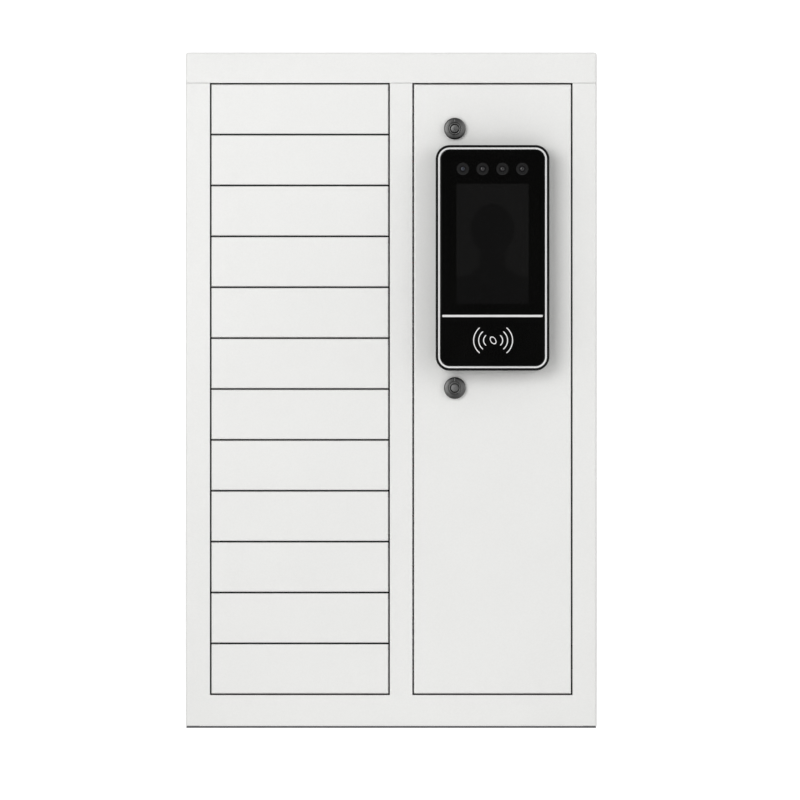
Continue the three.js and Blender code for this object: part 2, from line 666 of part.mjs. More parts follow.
// A mains inlet set in from inside: a body that fills the side panel's cut-out, with an ear on
// each side of the socket's recess, and a flange that laps behind the sheet.
function powerInlet() {
  const around = (wide, high) => [
    [INLET.y - wide / 2, INLET.y + wide / 2],
    [INLET.z - high / 2, INLET.z + high / 2],
  ];
  const { wide, high, deep, flange, lap } = INLET;
  const face = RIGHT - SEAM;
  const body = block([RIGHT - deep, face], ...around(wide - 2 * SEAM, high - 2 * SEAM));
  const rim = block([INSIDE_X - flange, INSIDE_X], ...around(wide + 2 * lap, high + 2 * lap));
  const socket = block([face - SOCKET.deep, face + PAST], ...around(SOCKET.wide, SOCKET.high));
  return union(body, rim).subtract(socket);
}

// ---------------------------------------------------------------- assembly
const locker = new THREE.Group();

function place(parent, name, geometry, look) {
  const mesh = new THREE.Mesh(geometry, look);
  mesh.name = name;
  parent.add(mesh);
  return mesh;
}

function groupAt(parent, x, y, z) {
  const group = new THREE.Group();
  group.position.set(x, y, z);
  parent.add(group);
  return group;
}

place(locker, "front_frame", geometryOf(frontFrame()), paint);
place(locker, "side_panel_left", geometryOf(sidePanel(-1)), paint);
place(locker, "side_panel_right", geometryOf(rightSidePanel()), paint);
place(locker, "back_panel", geometryOf(backPanel()), paint);
place(locker, "base_deck", geometryOf(baseDeck()), paint);
place(locker, "base_trim", geometryOf(baseTrim()), rubber);
place(locker, "top_cover", geometryOf(topCover()), paint);
place(locker, "centre_partition", geometryOf(centrePartition()), paint);
place(locker, "control_board", geometryOf(controlBoard()), circuit);
place(locker, "power_supply", geometryOf(powerSupply()), casing);
place(locker, "power_inlet", geometryOf(powerInlet()), inletPlastic);

const shelfGeometry = geometryOf(shelf());
const doorGeometry = geometryOf(compartmentDoor());
const lockGeometry = geometryOf(electricLock());
for (let row = 1; row <= COMPARTMENTS; row++) {
  const label = String(row).padStart(2, "0");
  const z = compartmentZ(row);
  place(locker, `shelf_${label}`, shelfGeometry, paint).position.set(0, 0, z + DOOR_PITCH / 2);
  place(locker, `door_${label}`, doorGeometry, doorPaint).position.set(PIVOT_X, PIVOT_Y, z);
  place(locker, `lock_${label}`, lockGeometry, zinc).position.set(LOCK_RIGHT, LOCK_FRONT, z);
}

const columnPivots = groupAt(locker, PIVOT_X, PIVOT_Y, 0);
const columnLugs = Array.from({ length: COMPARTMENTS }, (_, i) =>
  lugPair(compartmentZ(i + 1), DOOR_HEIGHT),
).flat();
const stripHeight = [OPENING_BOTTOM + SEAM, OPENING_TOP - SEAM];
const columnStrip = geometryOf(hingeStrip(1, stripHeight, columnLugs));
place(columnPivots, "door_hinge_strip", columnStrip, zinc);

const bayPivots = groupAt(locker, BAY_PIVOT_X, PIVOT_Y, 0);
const bayLugs = lugPair(BAY_MIDDLE_Z, BAY_DOOR_HEIGHT);
place(bayPivots, "bay_hinge_strip", geometryOf(hingeStrip(-1, stripHeight, bayLugs)), zinc);

const bayDoor = groupAt(bayPivots, 0, 0, BAY_MIDDLE_Z);
place(bayDoor, "bay_door", geometryOf(controlDoor()), doorPaint);

const doorFace = groupAt(bayDoor, -BAY_PIVOT_X, -PIVOT_INSET, -BAY_MIDDLE_Z);
const barrelGeometry = geometryOf(camLockBarrel());
const plugGeometry = geometryOf(camLockPlug());
for (const [where, z] of [
  ["upper", UPPER_LOCK_Z],
  ["lower", LOWER_LOCK_Z],
]) {
  const camLock = groupAt(doorFace, LOCK_X, 0, z);
  place(camLock, `cam_lock_${where}`, barrelGeometry, gunmetal);
  place(camLock, `lock_cam_${where}`, plugGeometry, gunmetal);
}

const terminal = groupAt(doorFace, TERMINAL_X, 0, TERMINAL_Z);
place(terminal, "terminal_housing", geometryOf(terminalHousing()), blackPlastic);
place(terminal, "terminal_ring", geometryOf(terminalRing()), silver);
place(terminal, "terminal_glass", geometryOf(terminalGlass()), blackGlass);
place(terminal, "terminal_display", geometryOf(terminalDisplay()), display);
place(terminal, "terminal_cameras", geometryOf(terminalCameras()), lens);
place(terminal, "terminal_light_bar", geometryOf(terminalLightBar()), lightGuide);

export default locker;
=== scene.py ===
"""The looks of a compact parcel locker: powder-coated sheet steel, twelve small doors, and a
control door with a glass terminal and two tubular cam locks. Metres, +Z up, front faces -Y."""

import math

import bmesh
import bpy
from mathutils import Matrix, Vector


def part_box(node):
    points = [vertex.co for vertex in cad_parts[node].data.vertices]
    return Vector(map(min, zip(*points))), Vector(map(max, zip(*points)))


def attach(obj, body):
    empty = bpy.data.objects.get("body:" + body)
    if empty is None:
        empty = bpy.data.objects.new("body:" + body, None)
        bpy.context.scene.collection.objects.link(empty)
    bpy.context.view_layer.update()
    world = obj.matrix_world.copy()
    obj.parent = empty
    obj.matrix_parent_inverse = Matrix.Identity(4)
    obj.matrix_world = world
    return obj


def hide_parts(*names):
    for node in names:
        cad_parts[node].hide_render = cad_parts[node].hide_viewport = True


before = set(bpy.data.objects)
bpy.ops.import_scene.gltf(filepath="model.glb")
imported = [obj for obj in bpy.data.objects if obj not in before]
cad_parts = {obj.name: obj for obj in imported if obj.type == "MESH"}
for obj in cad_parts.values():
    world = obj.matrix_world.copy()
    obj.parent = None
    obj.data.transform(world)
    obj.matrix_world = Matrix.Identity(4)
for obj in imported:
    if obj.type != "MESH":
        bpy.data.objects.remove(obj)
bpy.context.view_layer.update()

MM = 0.001
TAU = math.tau


# ---------------------------------------------------------------- places read from the frame
def middle(node):
    low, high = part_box(node)
    return (low + high) / 2


CABINET_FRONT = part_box("front_frame")[0].y
CABINET_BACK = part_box("back_panel")[1].y
DOOR_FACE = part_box("bay_door")[0].y
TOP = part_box("top_cover")[1].z
ROWS = [f"{row:02d}" for row in range(1, 13)]
SHEET = 1.2 * MM


# ---------------------------------------------------------------- node materials
class Look:
    """A node material built from small steps, in object space."""

    def __init__(self, name, color, roughness, metallic=0.0, **sockets):
        self.material = bpy.data.materials.new(name)
        self.material.use_nodes = True
        self.tree = self.material.node_tree
        self.shader = self.tree.nodes["Principled BSDF"]
        places = self.tree.nodes.new("ShaderNodeTexCoord")
        self.place = places.outputs["Object"]
        self.share = places.outputs["Generated"]  # 0 to 1 across the piece on each axis
        self.set("Base Color", (*color, 1.0))
        self.set("Roughness", roughness)
        self.set("Metallic", metallic)
        for socket, value in sockets.items():
            self.set(socket.replace("_", " "), value)

    def set(self, socket, value):
        target = self.shader.inputs[socket]
        if isinstance(value, bpy.types.NodeSocket):
            self.tree.links.new(value, target)
        else:
            target.default_value = value

    def node(self, kind, inputs=(), **settings):
        made = self.tree.nodes.new("ShaderNode" + kind)
        for key, value in settings.items():
            setattr(made, key, value)
        for key, value in dict(inputs).items():
            if isinstance(value, bpy.types.NodeSocket):
                self.tree.links.new(value, made.inputs[key])
            else:
                made.inputs[key].default_value = value
        return made

    def noise(self, size, detail=2.0, stretch=(1, 1, 1)):
        """Noise between 0 and 1 whose lumps are about size metres across."""
        place = self.node("Mapping", {"Vector": self.place, "Scale": stretch}).outputs[0]
        inputs = {"Vector": place, "Scale": 0.6 / size, "Detail": detail}
        return self.node("TexNoise", inputs).outputs[0]

    def cells(self, size):
        """Distance from the nearest of scattered points about size metres apart."""
        inputs = {"Vector": self.place, "Scale": 1 / size}
        return self.node("TexVoronoi", inputs).outputs["Distance"]

    def spread(self, value, low, high, start=0.3, end=0.7):
        inputs = {"Value": value, "From Min": start, "From Max": end, "To Min": low, "To Max": high}
        return self.node("MapRange", inputs).outputs[0]

    def mix(self, factor, first, second):
        made = self.node("Mix", data_type="RGBA")
        for index, value in ((0, factor), (6, first), (7, second)):
            if isinstance(value, bpy.types.NodeSocket):
                self.tree.links.new(value, made.inputs[index])
            elif index:
                made.inputs[index].default_value = (*value, 1.0)
            else:
                made.inputs[index].default_value = value
        return made.outputs[2]

    def bump(self, height, distance, strength=1.0, normal=None):
        inputs = {"Height": height, "Distance": distance, "Strength": strength}
        if normal is not None:
            inputs["Normal"] = normal
        return self.node("Bump", inputs).outputs[0]


def shade(color, factor):
    return tuple(channel * factor for channel in color)


def powder_coat(name, color, roughness, gap_shade=None):
    """Satin powder coat: a fine orange peel, a finer grit and a slow drift of tone. The optional
    mask function picks the faces deep in the gaps, which get near-black painted shade."""
    look = Look(name, color, roughness, Specular_IOR_Level=0.4)
    drift = look.noise(0.16, 3.0)
    fleck = look.noise(0.0009, 2.0)
    tone = look.mix(look.spread(drift, 0, 1), shade(color, 0.975), shade(color, 1.01))
    tone = look.mix(look.spread(fleck, 0, 0.12), tone, shade(color, 0.8))
    # Painted shade: faces deep in the gaps are turned near-black.
    if gap_shade:
        tone = look.mix(gap_shade(look), tone, PAINTED_GAP_SHADE)
    look.set("Base Color", tone)
    look.set("Roughness", look.spread(look.noise(0.02, 3.0), roughness - 0.06, roughness + 0.07))
    peel = look.bump(look.noise(0.0016, 2.0), 0.00004, 0.8)
    look.set("Normal", look.bump(look.noise(0.00035, 1.0), 0.000012, 0.6, peel))
    return look.material


def with_edge_gap_shade(look, wide, deep, tall, start, margin):
    """Masks a piece's outer edges, from start behind its face, for near-black painted shade in the
    gaps. margin is how far in from each side the painted shade reaches, and wide, deep and tall are the
    piece's size."""
    share = look.node("SeparateXYZ", {0: look.share})
    near_side = []
    for axis, size in (("X", wide), ("Z", tall)):
        away = look.node("Math", {0: share.outputs[axis], 1: 0.5}, operation="SUBTRACT").outputs[0]
        away = look.node("Math", {0: away}, operation="ABSOLUTE").outputs[0]
        limit = 0.5 - margin / size
        near_side.append(look.node("Math", {0: away, 1: limit}, operation="GREATER_THAN").outputs[0])
    edge = look.node("Math", {0: near_side[0], 1: near_side[1]}, operation="MAXIMUM").outputs[0]
    behind = look.spread(share.outputs["Y"], 0, 1, start / deep, (start + 0.4 * MM) / deep)
    return look.node("Math", {0: edge, 1: behind}, operation="MULTIPLY").outputs[0]


def zinc_plate(name, color, roughness):
    """Bright zinc plate: soft spangle, fine rolling lines and dull patches."""
    look = Look(name, color, roughness, 1.0)
    spangle = look.cells(0.004)
    lines = look.noise(0.0006, 2.0, (1, 1, 0.04))
    tone = look.mix(look.spread(spangle, 0, 1, 0.1, 0.9), shade(color, 0.86), color)
    look.set("Base Color", look.mix(look.spread(lines, 0, 0.3), tone, shade(color, 0.7)))
    look.set("Roughness", look.spread(look.noise(0.012, 4.0), roughness - 0.1, roughness + 0.14))
    look.set("Normal", look.bump(lines, 0.00001, 0.5))
    return look.material


def dark_nickel(name, color, roughness):
    """Die-cast lock metal: blasted grain, with a worn and brighter high side."""
    look = Look(name, color, roughness, 1.0)
    grain = look.noise(0.0006, 3.0)
    smear = look.noise(0.004, 4.0)
    tone = look.mix(look.spread(grain, 0, 1), shade(color, 0.72), shade(color, 1.3))
    look.set("Base Color", look.mix(look.spread(smear, 0, 0.5), tone, shade(color, 1.7)))
    look.set("Roughness", look.spread(smear, roughness - 0.08, roughness + 0.12))
    look.set("Normal", look.bump(grain, 0.00003, 0.6))
    return look.material


def turned_nickel(name, color, roughness):
    """Dark nickel faced on a lathe: fine rings, and a painted highlight that makes the head lighter to
    the left and the right and darker above and below.
    """
    look = Look(name, color, roughness, 1.0)
    share = look.node("SeparateXYZ", {0: look.share})
    across, up = [
        look.node("Math", {0: share.outputs[axis], 1: 0.5}, operation="SUBTRACT").outputs[0]
        for axis in ("X", "Z")
    ]
    # Painted highlight: the colour is lighter to the left and right of the middle and darker above and
    # below it.
    angle = look.node("Math", {0: up, 1: across}, operation="ARCTAN2").outputs[0]
    twice = look.node("Math", {0: angle, 1: 2.0}, operation="MULTIPLY").outputs[0]
    painted_highlight = look.node("Math", {0: twice}, operation="COSINE").outputs[0]
    offset = look.node("CombineXYZ", {0: across, 2: up}).outputs[0]
    radius = look.node("VectorMath", {0: offset}, operation="LENGTH").outputs["Value"]
    inputs = {"W": radius, "Scale": 70.0, "Detail": 2.0}
    rings = look.node("TexNoise", inputs, noise_dimensions="1D").outputs[0]
    tone = look.mix(look.spread(painted_highlight, 0, 1, -1, 1), shade(color, 0.5), shade(color, 1.45))
    smear = look.noise(0.003, 4.0)
    tone = look.mix(look.spread(smear, 0, 0.3), tone, shade(color, 0.5))
    look.set("Base Color", look.mix(look.spread(rings, 0, 0.45), tone, shade(color, 0.45)))
    look.set("Roughness", look.spread(smear, roughness - 0.06, roughness + 0.08))
    look.set("Normal", look.bump(rings, 0.00004, 0.6))
    return look.material


def moulded(name, color, roughness, grain=0.0007, depth=0.00002, drift=0.12, **sockets):
    """Moulded plastic or rubber: spark-eroded grain and a faint drift of gloss."""
    look = Look(name, color, roughness, **sockets)
    texture = look.cells(grain)
    slow = look.noise(0.03, 3.0)
    look.set("Base Color", look.mix(look.spread(slow, 0, 1), shade(color, 1 - drift), color))
    look.set("Roughness", look.spread(slow, roughness - 0.05, roughness + 0.06))
    look.set("Normal", look.bump(texture, depth, 0.7))
    return look.material


def smooth_gloss(name, color, roughness, smear=0.05, **sockets):
    """Glass, lenses and prints: very smooth, with the faint smears of a wiped surface."""
    look = Look(name, color, roughness, **sockets)
    wiped = look.noise(0.03, 4.0, (1, 1, 0.35))
    look.set("Roughness", look.spread(wiped, roughness, roughness + smear))
    look.set("Base Color", look.mix(look.spread(wiped, 0, 1), color, shade(color, 1.08)))
    return look.material


def circuit_green(name, color, roughness):
    """Solder mask over copper: straight lighter traces under a satin green coat."""
    look = Look(name, color, roughness)
    inputs = {"Vector": look.place, "Scale": 260.0}
    traces = look.node("TexVoronoi", inputs, distance="MANHATTAN", feature="F2").outputs["Distance"]
    tone = look.mix(look.spread(traces, 0, 1, 0.45, 0.6), color, shade(color, 1.7))
    look.set("Base Color", tone)
    look.set("Roughness", look.spread(look.noise(0.01, 2.0), roughness - 0.05, roughness + 0.08))
    look.set("Normal", look.bump(traces, 0.00002, 0.5))
    return look.material


WHITE_COAT = (0.86, 0.86, 0.845)
# Near-black painted shade for the faces deep in the door and window gaps.
PAINTED_GAP_SHADE = (0.012, 0.012, 0.012)
GAP_SHADE_START = 1.7 * MM  # how far behind the faces the painted gap shade starts


def door_gap_shade(door):
    """The painted shade in the gaps round the edges of one kind of door."""
    low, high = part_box(door)
    size = high - low
    return lambda look: with_edge_gap_shade(look, size.x, size.y, size.z, GAP_SHADE_START, 0.6 * MM)


def window_gap_shade(look):
    """The painted shade that lines the returns of the frame's two windows, well inside the frame's
    wrapped sides.
    """
    low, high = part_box("front_frame")
    share = look.node("SeparateXYZ", {0: look.share})
    away = look.node("Math", {0: share.outputs["X"], 1: 0.5}, operation="SUBTRACT").outputs[0]
    away = look.node("Math", {0: away}, operation="ABSOLUTE").outputs[0]
    limit = 0.5 - 8 * MM / (high.x - low.x)
    inside = look.node("Math", {0: away, 1: limit}, operation="LESS_THAN").outputs[0]
    deep = high.y - low.y
    behind = look.spread(share.outputs["Y"], 0, 1, GAP_SHADE_START / deep, (GAP_SHADE_START + 0.4 * MM) / deep)
    return look.node("Math", {0: inside, 1: behind}, operation="MULTIPLY").outputs[0]


def lip_gap_shade(look):
    """Painted shade on a shelf's front lip, which the doors close against and which shows through the
    gaps.
    """
    low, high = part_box("shelf_06")
    share = look.node("SeparateXYZ", {0: look.share})
    lip = 0.5 * MM / (high.y - low.y)
    return look.node("Math", {0: share.outputs["Y"], 1: lip}, operation="LESS_THAN").outputs[0]


paint = powder_coat("cabinet_powder_coat", WHITE_COAT, 0.46)
shelf_paint = powder_coat("shelf_powder_coat", WHITE_COAT, 0.48, lip_gap_shade)
frame_paint = powder_coat("frame_powder_coat", WHITE_COAT, 0.46, window_gap_shade)
door_paint = powder_coat("door_powder_coat", WHITE_COAT, 0.44, door_gap_shade("door_06"))
bay_door_paint = powder_coat("bay_door_powder_coat", WHITE_COAT, 0.44, door_gap_shade("bay_door"))
zinc = zinc_plate("zinc_plated_steel", (0.6, 0.61, 0.62), 0.36)
black_zinc = zinc_plate("black_zinc_plate", (0.03, 0.03, 0.031), 0.5)
screw_steel = zinc_plate("screw_steel", (0.5, 0.5, 0.51), 0.3)
casing = zinc_plate("galvanised_casing", (0.5, 0.52, 0.53), 0.42)
nickel = dark_nickel("dark_nickel", (0.14, 0.14, 0.138), 0.42)
nickel_turned = turned_nickel("turned_dark_nickel", (0.15, 0.15, 0.148), 0.4)
# Near-black lock metal: painted shade for the index strips and the floor of the keyway groove.
nickel_painted_shade = dark_nickel("recess_painted_shade", (0.012, 0.012, 0.012), 0.6)
# A lighter copy of the lock metal: painted highlight for the raised index ridge.
nickel_painted_highlight = dark_nickel("lock_metal_painted_highlight", (0.3, 0.3, 0.3), 0.34)
nickel_pin = dark_nickel("dull_pin_nickel", (0.13, 0.13, 0.13), 0.42)
rubber = moulded("dark_rubber", (0.15, 0.15, 0.155), 0.8, 0.0009, 0.00005)
black_plastic = moulded("black_moulding", (0.003, 0.003, 0.003), 0.45, Specular_IOR_Level=0.15)
inlet_plastic = moulded("inlet_moulding", (0.01, 0.01, 0.011), 0.42)
white_plastic = moulded("white_moulding", (0.72, 0.72, 0.68), 0.5)
brass = zinc_plate("pin_brass", (0.62, 0.5, 0.28), 0.3)
silver = smooth_gloss("satin_silver", (0.72, 0.72, 0.72), 0.32, 0.06)
black_glass = smooth_gloss("black_glass", (0.0022, 0.0022, 0.0021), 0.03, 0.03)
display_glass = smooth_gloss("display_area", (0.0075, 0.0075, 0.0074), 0.03, 0.03)
guide_print = smooth_gloss("guide_shape", (0.0052, 0.0052, 0.0052), 0.03, 0.03)
white_print = smooth_gloss("white_print", (0.82, 0.82, 0.82), 0.2, 0.04)
window_rim = smooth_gloss("camera_window", (0.0165, 0.0165, 0.0165), 0.08, 0.05)
window_dark = smooth_gloss("camera_well", (0.009, 0.009, 0.0095), 0.06, 0.04)
lens_blue = smooth_gloss("lens_coating", (0.017, 0.021, 0.032), 0.1, 0.05)
lens_grey = smooth_gloss("lamp_lens", (0.022, 0.022, 0.0225), 0.12, 0.06)
light_guide = smooth_gloss("milky_light_guide", (0.72, 0.72, 0.72), 0.3)
circuit = circuit_green("solder_mask", (0.012, 0.1, 0.038), 0.4)


# ---------------------------------------------------------------- meshes
def piece(name, mesh, look, body, stands_for=()):
    """Turns a bmesh into a named object that rides on a body."""
    data = bpy.data.meshes.new(name)
    bmesh.ops.recalc_face_normals(mesh, faces=mesh.faces)
    mesh.to_mesh(data)
    mesh.free()
    data.materials.append(look)
    data.shade_smooth()
    data.set_sharp_from_angle(angle=math.radians(32))
    made = bpy.data.objects.new(name, data)
    made.modifiers.new("normals", "WEIGHTED_NORMAL").keep_sharp = True
    bpy.context.scene.collection.objects.link(made)
    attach(made, body)
    if stands_for:
        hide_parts(*stands_for)
    return made


def add_loft(mesh, loops, ring=False):
    """Skins loops with the same number of points; the ends are capped, or joined as a ring."""
    rows = [[mesh.verts.new(point) for point in loop] for loop in loops]
    pairs = list(zip(rows, rows[1:]))
    if ring:
        pairs.append((rows[-1], rows[0]))
    for first, second in pairs:
        count = len(first)
        for i in range(count):
            j = (i + 1) % count
            mesh.faces.new((first[i], first[j], second[j], second[i]))
    if not ring:
        mesh.faces.new(rows[0])
        mesh.faces.new(list(reversed(rows[-1])))


def circle(place, radius, height, steps):
    angles = [TAU * i / steps for i in range(steps)]
    return [place @ Vector((radius * math.cos(a), radius * math.sin(a), height)) for a in angles]


def add_turned(mesh, profile, place, steps=48, ring=False):
    """A profile of (radius, height) points turned about place's Z axis. With ring, the profile
    closes on itself away from the axis."""
    add_loft(mesh, [circle(place, radius, height, steps) for radius, height in profile], ring)


def hexagon(place, radius, height, steps=48, reach=1.0):
    """A six-sided loop whose corners are at radius, turned down to reach times that."""
    loop = []
    for angle in (TAU * i / steps for i in range(steps)):
        flat = math.cos(math.pi / 6) / math.cos((angle % (TAU / 6)) - math.pi / 6)
        out = radius * min(flat, reach)
        loop.append(place @ Vector((out * math.cos(angle), out * math.sin(angle), height)))
    return loop


def add_block(mesh, low, high, bevel=0.0, segments=2):
    """A block between two corners, with its edges rounded."""
    low, high = Vector(low), Vector(high)
    size = Matrix.Diagonal((*(high - low), 1.0))
    place = Matrix.Translation((low + high) / 2) @ size
    made = bmesh.ops.create_cube(mesh, size=1.0, matrix=place)
    if bevel:
        edges = {edge for vert in made["verts"] for edge in vert.link_edges}
        bmesh.ops.bevel(
            mesh,
            geom=list(edges),
            offset=bevel,
            segments=segments,
            affect="EDGES",
            profile=0.5,
        )


def add_plate(mesh, outline, thickness, place):
    """A flat outline in place's X and Y, given a thickness along its Z."""
    low = [mesh.verts.new(place @ Vector((x, y, 0))) for x, y in outline]
    high = [mesh.verts.new(place @ Vector((x, y, thickness))) for x, y in outline]
    mesh.faces.new(low)
    mesh.faces.new(list(reversed(high)))
    for i in range(len(low)):
        j = (i + 1) % len(low)
        mesh.faces.new((low[i], high[i], high[j], low[j]))


def in_mm(points):
    return [(a * MM, b * MM) for a, b in points]


def arc(centre, radius, start, end, steps):
    """Points on an arc, with the angles in degrees."""
    angles = [math.radians(start + (end - start) * i / steps) for i in range(steps + 1)]
    return [(centre[0] + radius * math.cos(a), centre[1] + radius * math.sin(a)) for a in angles]


def rounded_rect(wide, high, radius, steps=10):
    x, y = wide / 2 - radius, high / 2 - radius
    corners = (((x, y), 0), ((-x, y), 90), ((-x, -y), 180), ((x, -y), 270))
    return [point for centre, a in corners for point in arc(centre, radius, a, a + 90, steps)]


def stroke(centre, radius, start, end, wide, steps=20):
    """The outline of an arc drawn with a round pen."""
    first, last = arc(centre, radius, start, start, 1)[0], arc(centre, radius, end, end, 1)[0]
    return (
        arc(centre, radius + wide / 2, start, end, steps)
        + arc(last, wide / 2, end, end + 180, 6)[1:-1]
        + arc(centre, radius - wide / 2, end, start, steps)
        + arc(first, wide / 2, start + 180, start + 360, 6)[1:-1]
    )


def facing(point, normal):
    """A frame at point whose Z is the normal, and whose Y is up where that is possible."""
    turn = Vector(normal).to_track_quat("Z", "Y").to_matrix().to_4x4()
    return Matrix.Translation(point) @ turn


def looking_back(point):
    """A frame at point whose Z goes back into the cabinet."""
    return Matrix.Translation(point) @ Matrix.Rotation(-math.pi / 2, 4, "X")


def front_frame_at(x, y, z):
    """A frame on a front face: its X is to the right, its Y is up and its Z comes forward."""
    turn = Matrix(((1, 0, 0), (0, 0, -1), (0, 1, 0))).to_4x4()
    return Matrix.Translation((x, y, z)) @ turn


def add_screw(mesh, point, normal, radius):
    """A button head with a six-sided socket."""
    place = facing(point, normal)
    steps = 24
    profile = ((1.0, 0.0), (1.0, 0.18), (0.93, 0.38), (0.78, 0.52), (0.6, 0.6))
    loops = [circle(place, r * radius, h * radius, steps) for r, h in profile]
    loops += [hexagon(place, 0.46 * radius, depth * radius, steps) for depth in (0.6, 0.2)]
    add_loft(mesh, loops)


def soften(node, look, width=0.0):
    """Gives a CAD node its material, joins its flat facets and rounds its edges by width."""
    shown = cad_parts[node]
    shown.data.materials.clear()
    shown.data.materials.append(look)
    shown.data.shade_smooth()
    shown.data.set_sharp_from_angle(angle=math.radians(32))
    if width:
        weld = shown.modifiers.new("weld", "WELD")
        weld.merge_threshold = 0.000002
        flats = shown.modifiers.new("flats", "DECIMATE")
        flats.decimate_type = "DISSOLVE"
        flats.angle_limit = math.radians(0.5)
        edges = shown.modifiers.new("edges", "BEVEL")
        edges.width = width
        edges.segments = 2
        edges.limit_method = "ANGLE"
        edges.angle_limit = math.radians(24)
        edges.miter_outer = "MITER_ARC"
    shown.modifiers.new("normals", "WEIGHTED_NORMAL").keep_sharp = True


# ---------------------------------------------------------------- sheet metal
soften("front_frame", frame_paint, 0.25 * MM)
for name in ("side_panel_left", "side_panel_right", "back_panel", "top_cover"):
    soften(name, paint, 0.25 * MM)
for name in ("base_deck", "centre_partition"):
    soften(name, paint, 0.2 * MM)
for row in ROWS:
    soften("shelf_" + row, shelf_paint, 0.2 * MM)
    soften("door_" + row, door_paint)
soften("bay_door", bay_door_paint)
for name in ("door_hinge_strip", "bay_hinge_strip"):
    soften(name, black_zinc, 0.12 * MM)
for row in ROWS:
    soften("lock_" + row, zinc, 0.5 * MM)
soften("base_trim", rubber, 0.3 * MM)
soften("control_board", circuit, 0.1 * MM)
soften("power_supply", casing, 0.5 * MM)
soften("power_inlet", inlet_plastic, 0.4 * MM)


# ---------------------------------------------------------------- terminal
SHELL_LOW, SHELL_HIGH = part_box("terminal_housing")
SHELL_WIDE, SHELL_TALL = SHELL_HIGH.x - SHELL_LOW.x, SHELL_HIGH.z - SHELL_LOW.z
TERMINAL = middle("terminal_housing")
CORNER = 12.6 * MM
RIM = 1.9 * MM
RING_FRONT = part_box("terminal_ring")[0].y
RING_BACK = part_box("terminal_ring")[1].y
GLASS_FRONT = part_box("terminal_glass")[0].y
GLASS_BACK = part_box("terminal_glass")[1].y
PRINT = 0.03 * MM  # thickness of a print, so that it stands just clear of the glass


def terminal_loop(inset, y, steps=14):
    """The terminal's outline, moved in by inset, at depth y."""
    points = rounded_rect(SHELL_WIDE - 2 * inset, SHELL_TALL - 2 * inset, CORNER - inset, steps)
    return [Vector((TERMINAL.x + u, y, TERMINAL.z + v)) for u, v in points]


def on_glass(u=0.0, v=0.0, layer=0):
    """A frame on the glass, u to the right and v up from its middle."""
    return front_frame_at(TERMINAL.x + u, GLASS_FRONT - layer * PRINT, TERMINAL.z + v)


def terminal_shell():
    mesh = bmesh.new()
    rear, front = -0.3 * MM + DOOR_FACE, SHELL_LOW.y
    steps = [
        (1.0 * MM, rear),
        (0.2 * MM, rear - 0.6 * MM),
        (0.0, rear - 1.6 * MM),
        (0.0, front + 0.5 * MM),
        (0.06 * MM, front + 0.2 * MM),
        (0.2 * MM, front + 0.05 * MM),
        (0.4 * MM, front),
        (RIM - 0.15 * MM, front),
        (RIM, front + 0.15 * MM),
        (RIM, front + 5.0 * MM),
    ]
    add_loft(mesh, [terminal_loop(inset, y) for inset, y in steps])
    return mesh


def terminal_ring():
    mesh = bmesh.new()
    outer, inner = RIM + 0.3 * MM, RIM + 1.95 * MM
    soft = 0.45 * MM
    steps = [
        (outer, RING_BACK),
        (outer, RING_FRONT + soft),
        (outer + 0.3 * soft, RING_FRONT + 0.3 * soft),
        (outer + soft, RING_FRONT),
        (inner - soft, RING_FRONT),
        (inner - 0.3 * soft, RING_FRONT + 0.3 * soft),
        (inner, RING_FRONT + soft),
        (inner, RING_BACK),
    ]
    add_loft(mesh, [terminal_loop(inset, y) for inset, y in steps], ring=True)
    return mesh


def terminal_glass():
    mesh = bmesh.new()
    edge = RIM + 2.25 * MM
    steps = [
        (edge, GLASS_BACK),
        (edge, GLASS_FRONT + 0.5 * MM),
        (edge + 0.15 * MM, GLASS_FRONT + 0.15 * MM),
        (edge + 0.5 * MM, GLASS_FRONT),
    ]
    add_loft(mesh, [terminal_loop(inset, y) for inset, y in steps])
    return mesh


for name, mesh, look, slot, node in (
    ("terminal_shell", terminal_shell(), black_plastic, "black_plastic", "terminal_housing"),
    ("terminal_silver_ring", terminal_ring(), silver, "silver_ring", "terminal_ring"),
    ("terminal_front_glass", terminal_glass(), black_glass, "black_glass", "terminal_glass"),
):
    piece(name, mesh, look, "control_door", [node])

SCREEN_WIDE, SCREEN_TALL = 64.8 * MM, 108.0 * MM
SCREEN_UP = 12.6 * MM
mesh = bmesh.new()
add_plate(mesh, rounded_rect(SCREEN_WIDE, SCREEN_TALL, 0.4 * MM, 4), PRINT, on_glass(0, SCREEN_UP))
piece("display_area", mesh, display_glass, "control_door", ["terminal_display"])


def guide_outline():
    """A plain head and shoulders, the shape that shows where to stand."""
    half, low = SCREEN_WIDE / 2, -SCREEN_TALL / 2
    head_wide, head_tall, head_up = 19.5 * MM, 23 * MM, 13 * MM
    neck, neck_low = 11.5 * MM, -21 * MM
    head = [
        (head_wide * math.cos(a), head_up + head_tall * math.sin(a))
        for a in (math.radians(-55 + 290 * i / 28) for i in range(29))
    ]
    right = [(half, low), (half, -30 * MM), (20 * MM, -27 * MM), (neck, neck_low)]
    return right + head + [(-x, y) for x, y in reversed(right)]


mesh = bmesh.new()
add_plate(mesh, guide_outline(), PRINT, on_glass(0, SCREEN_UP, 1))
piece("display_guide_shape", mesh, guide_print, "control_door")

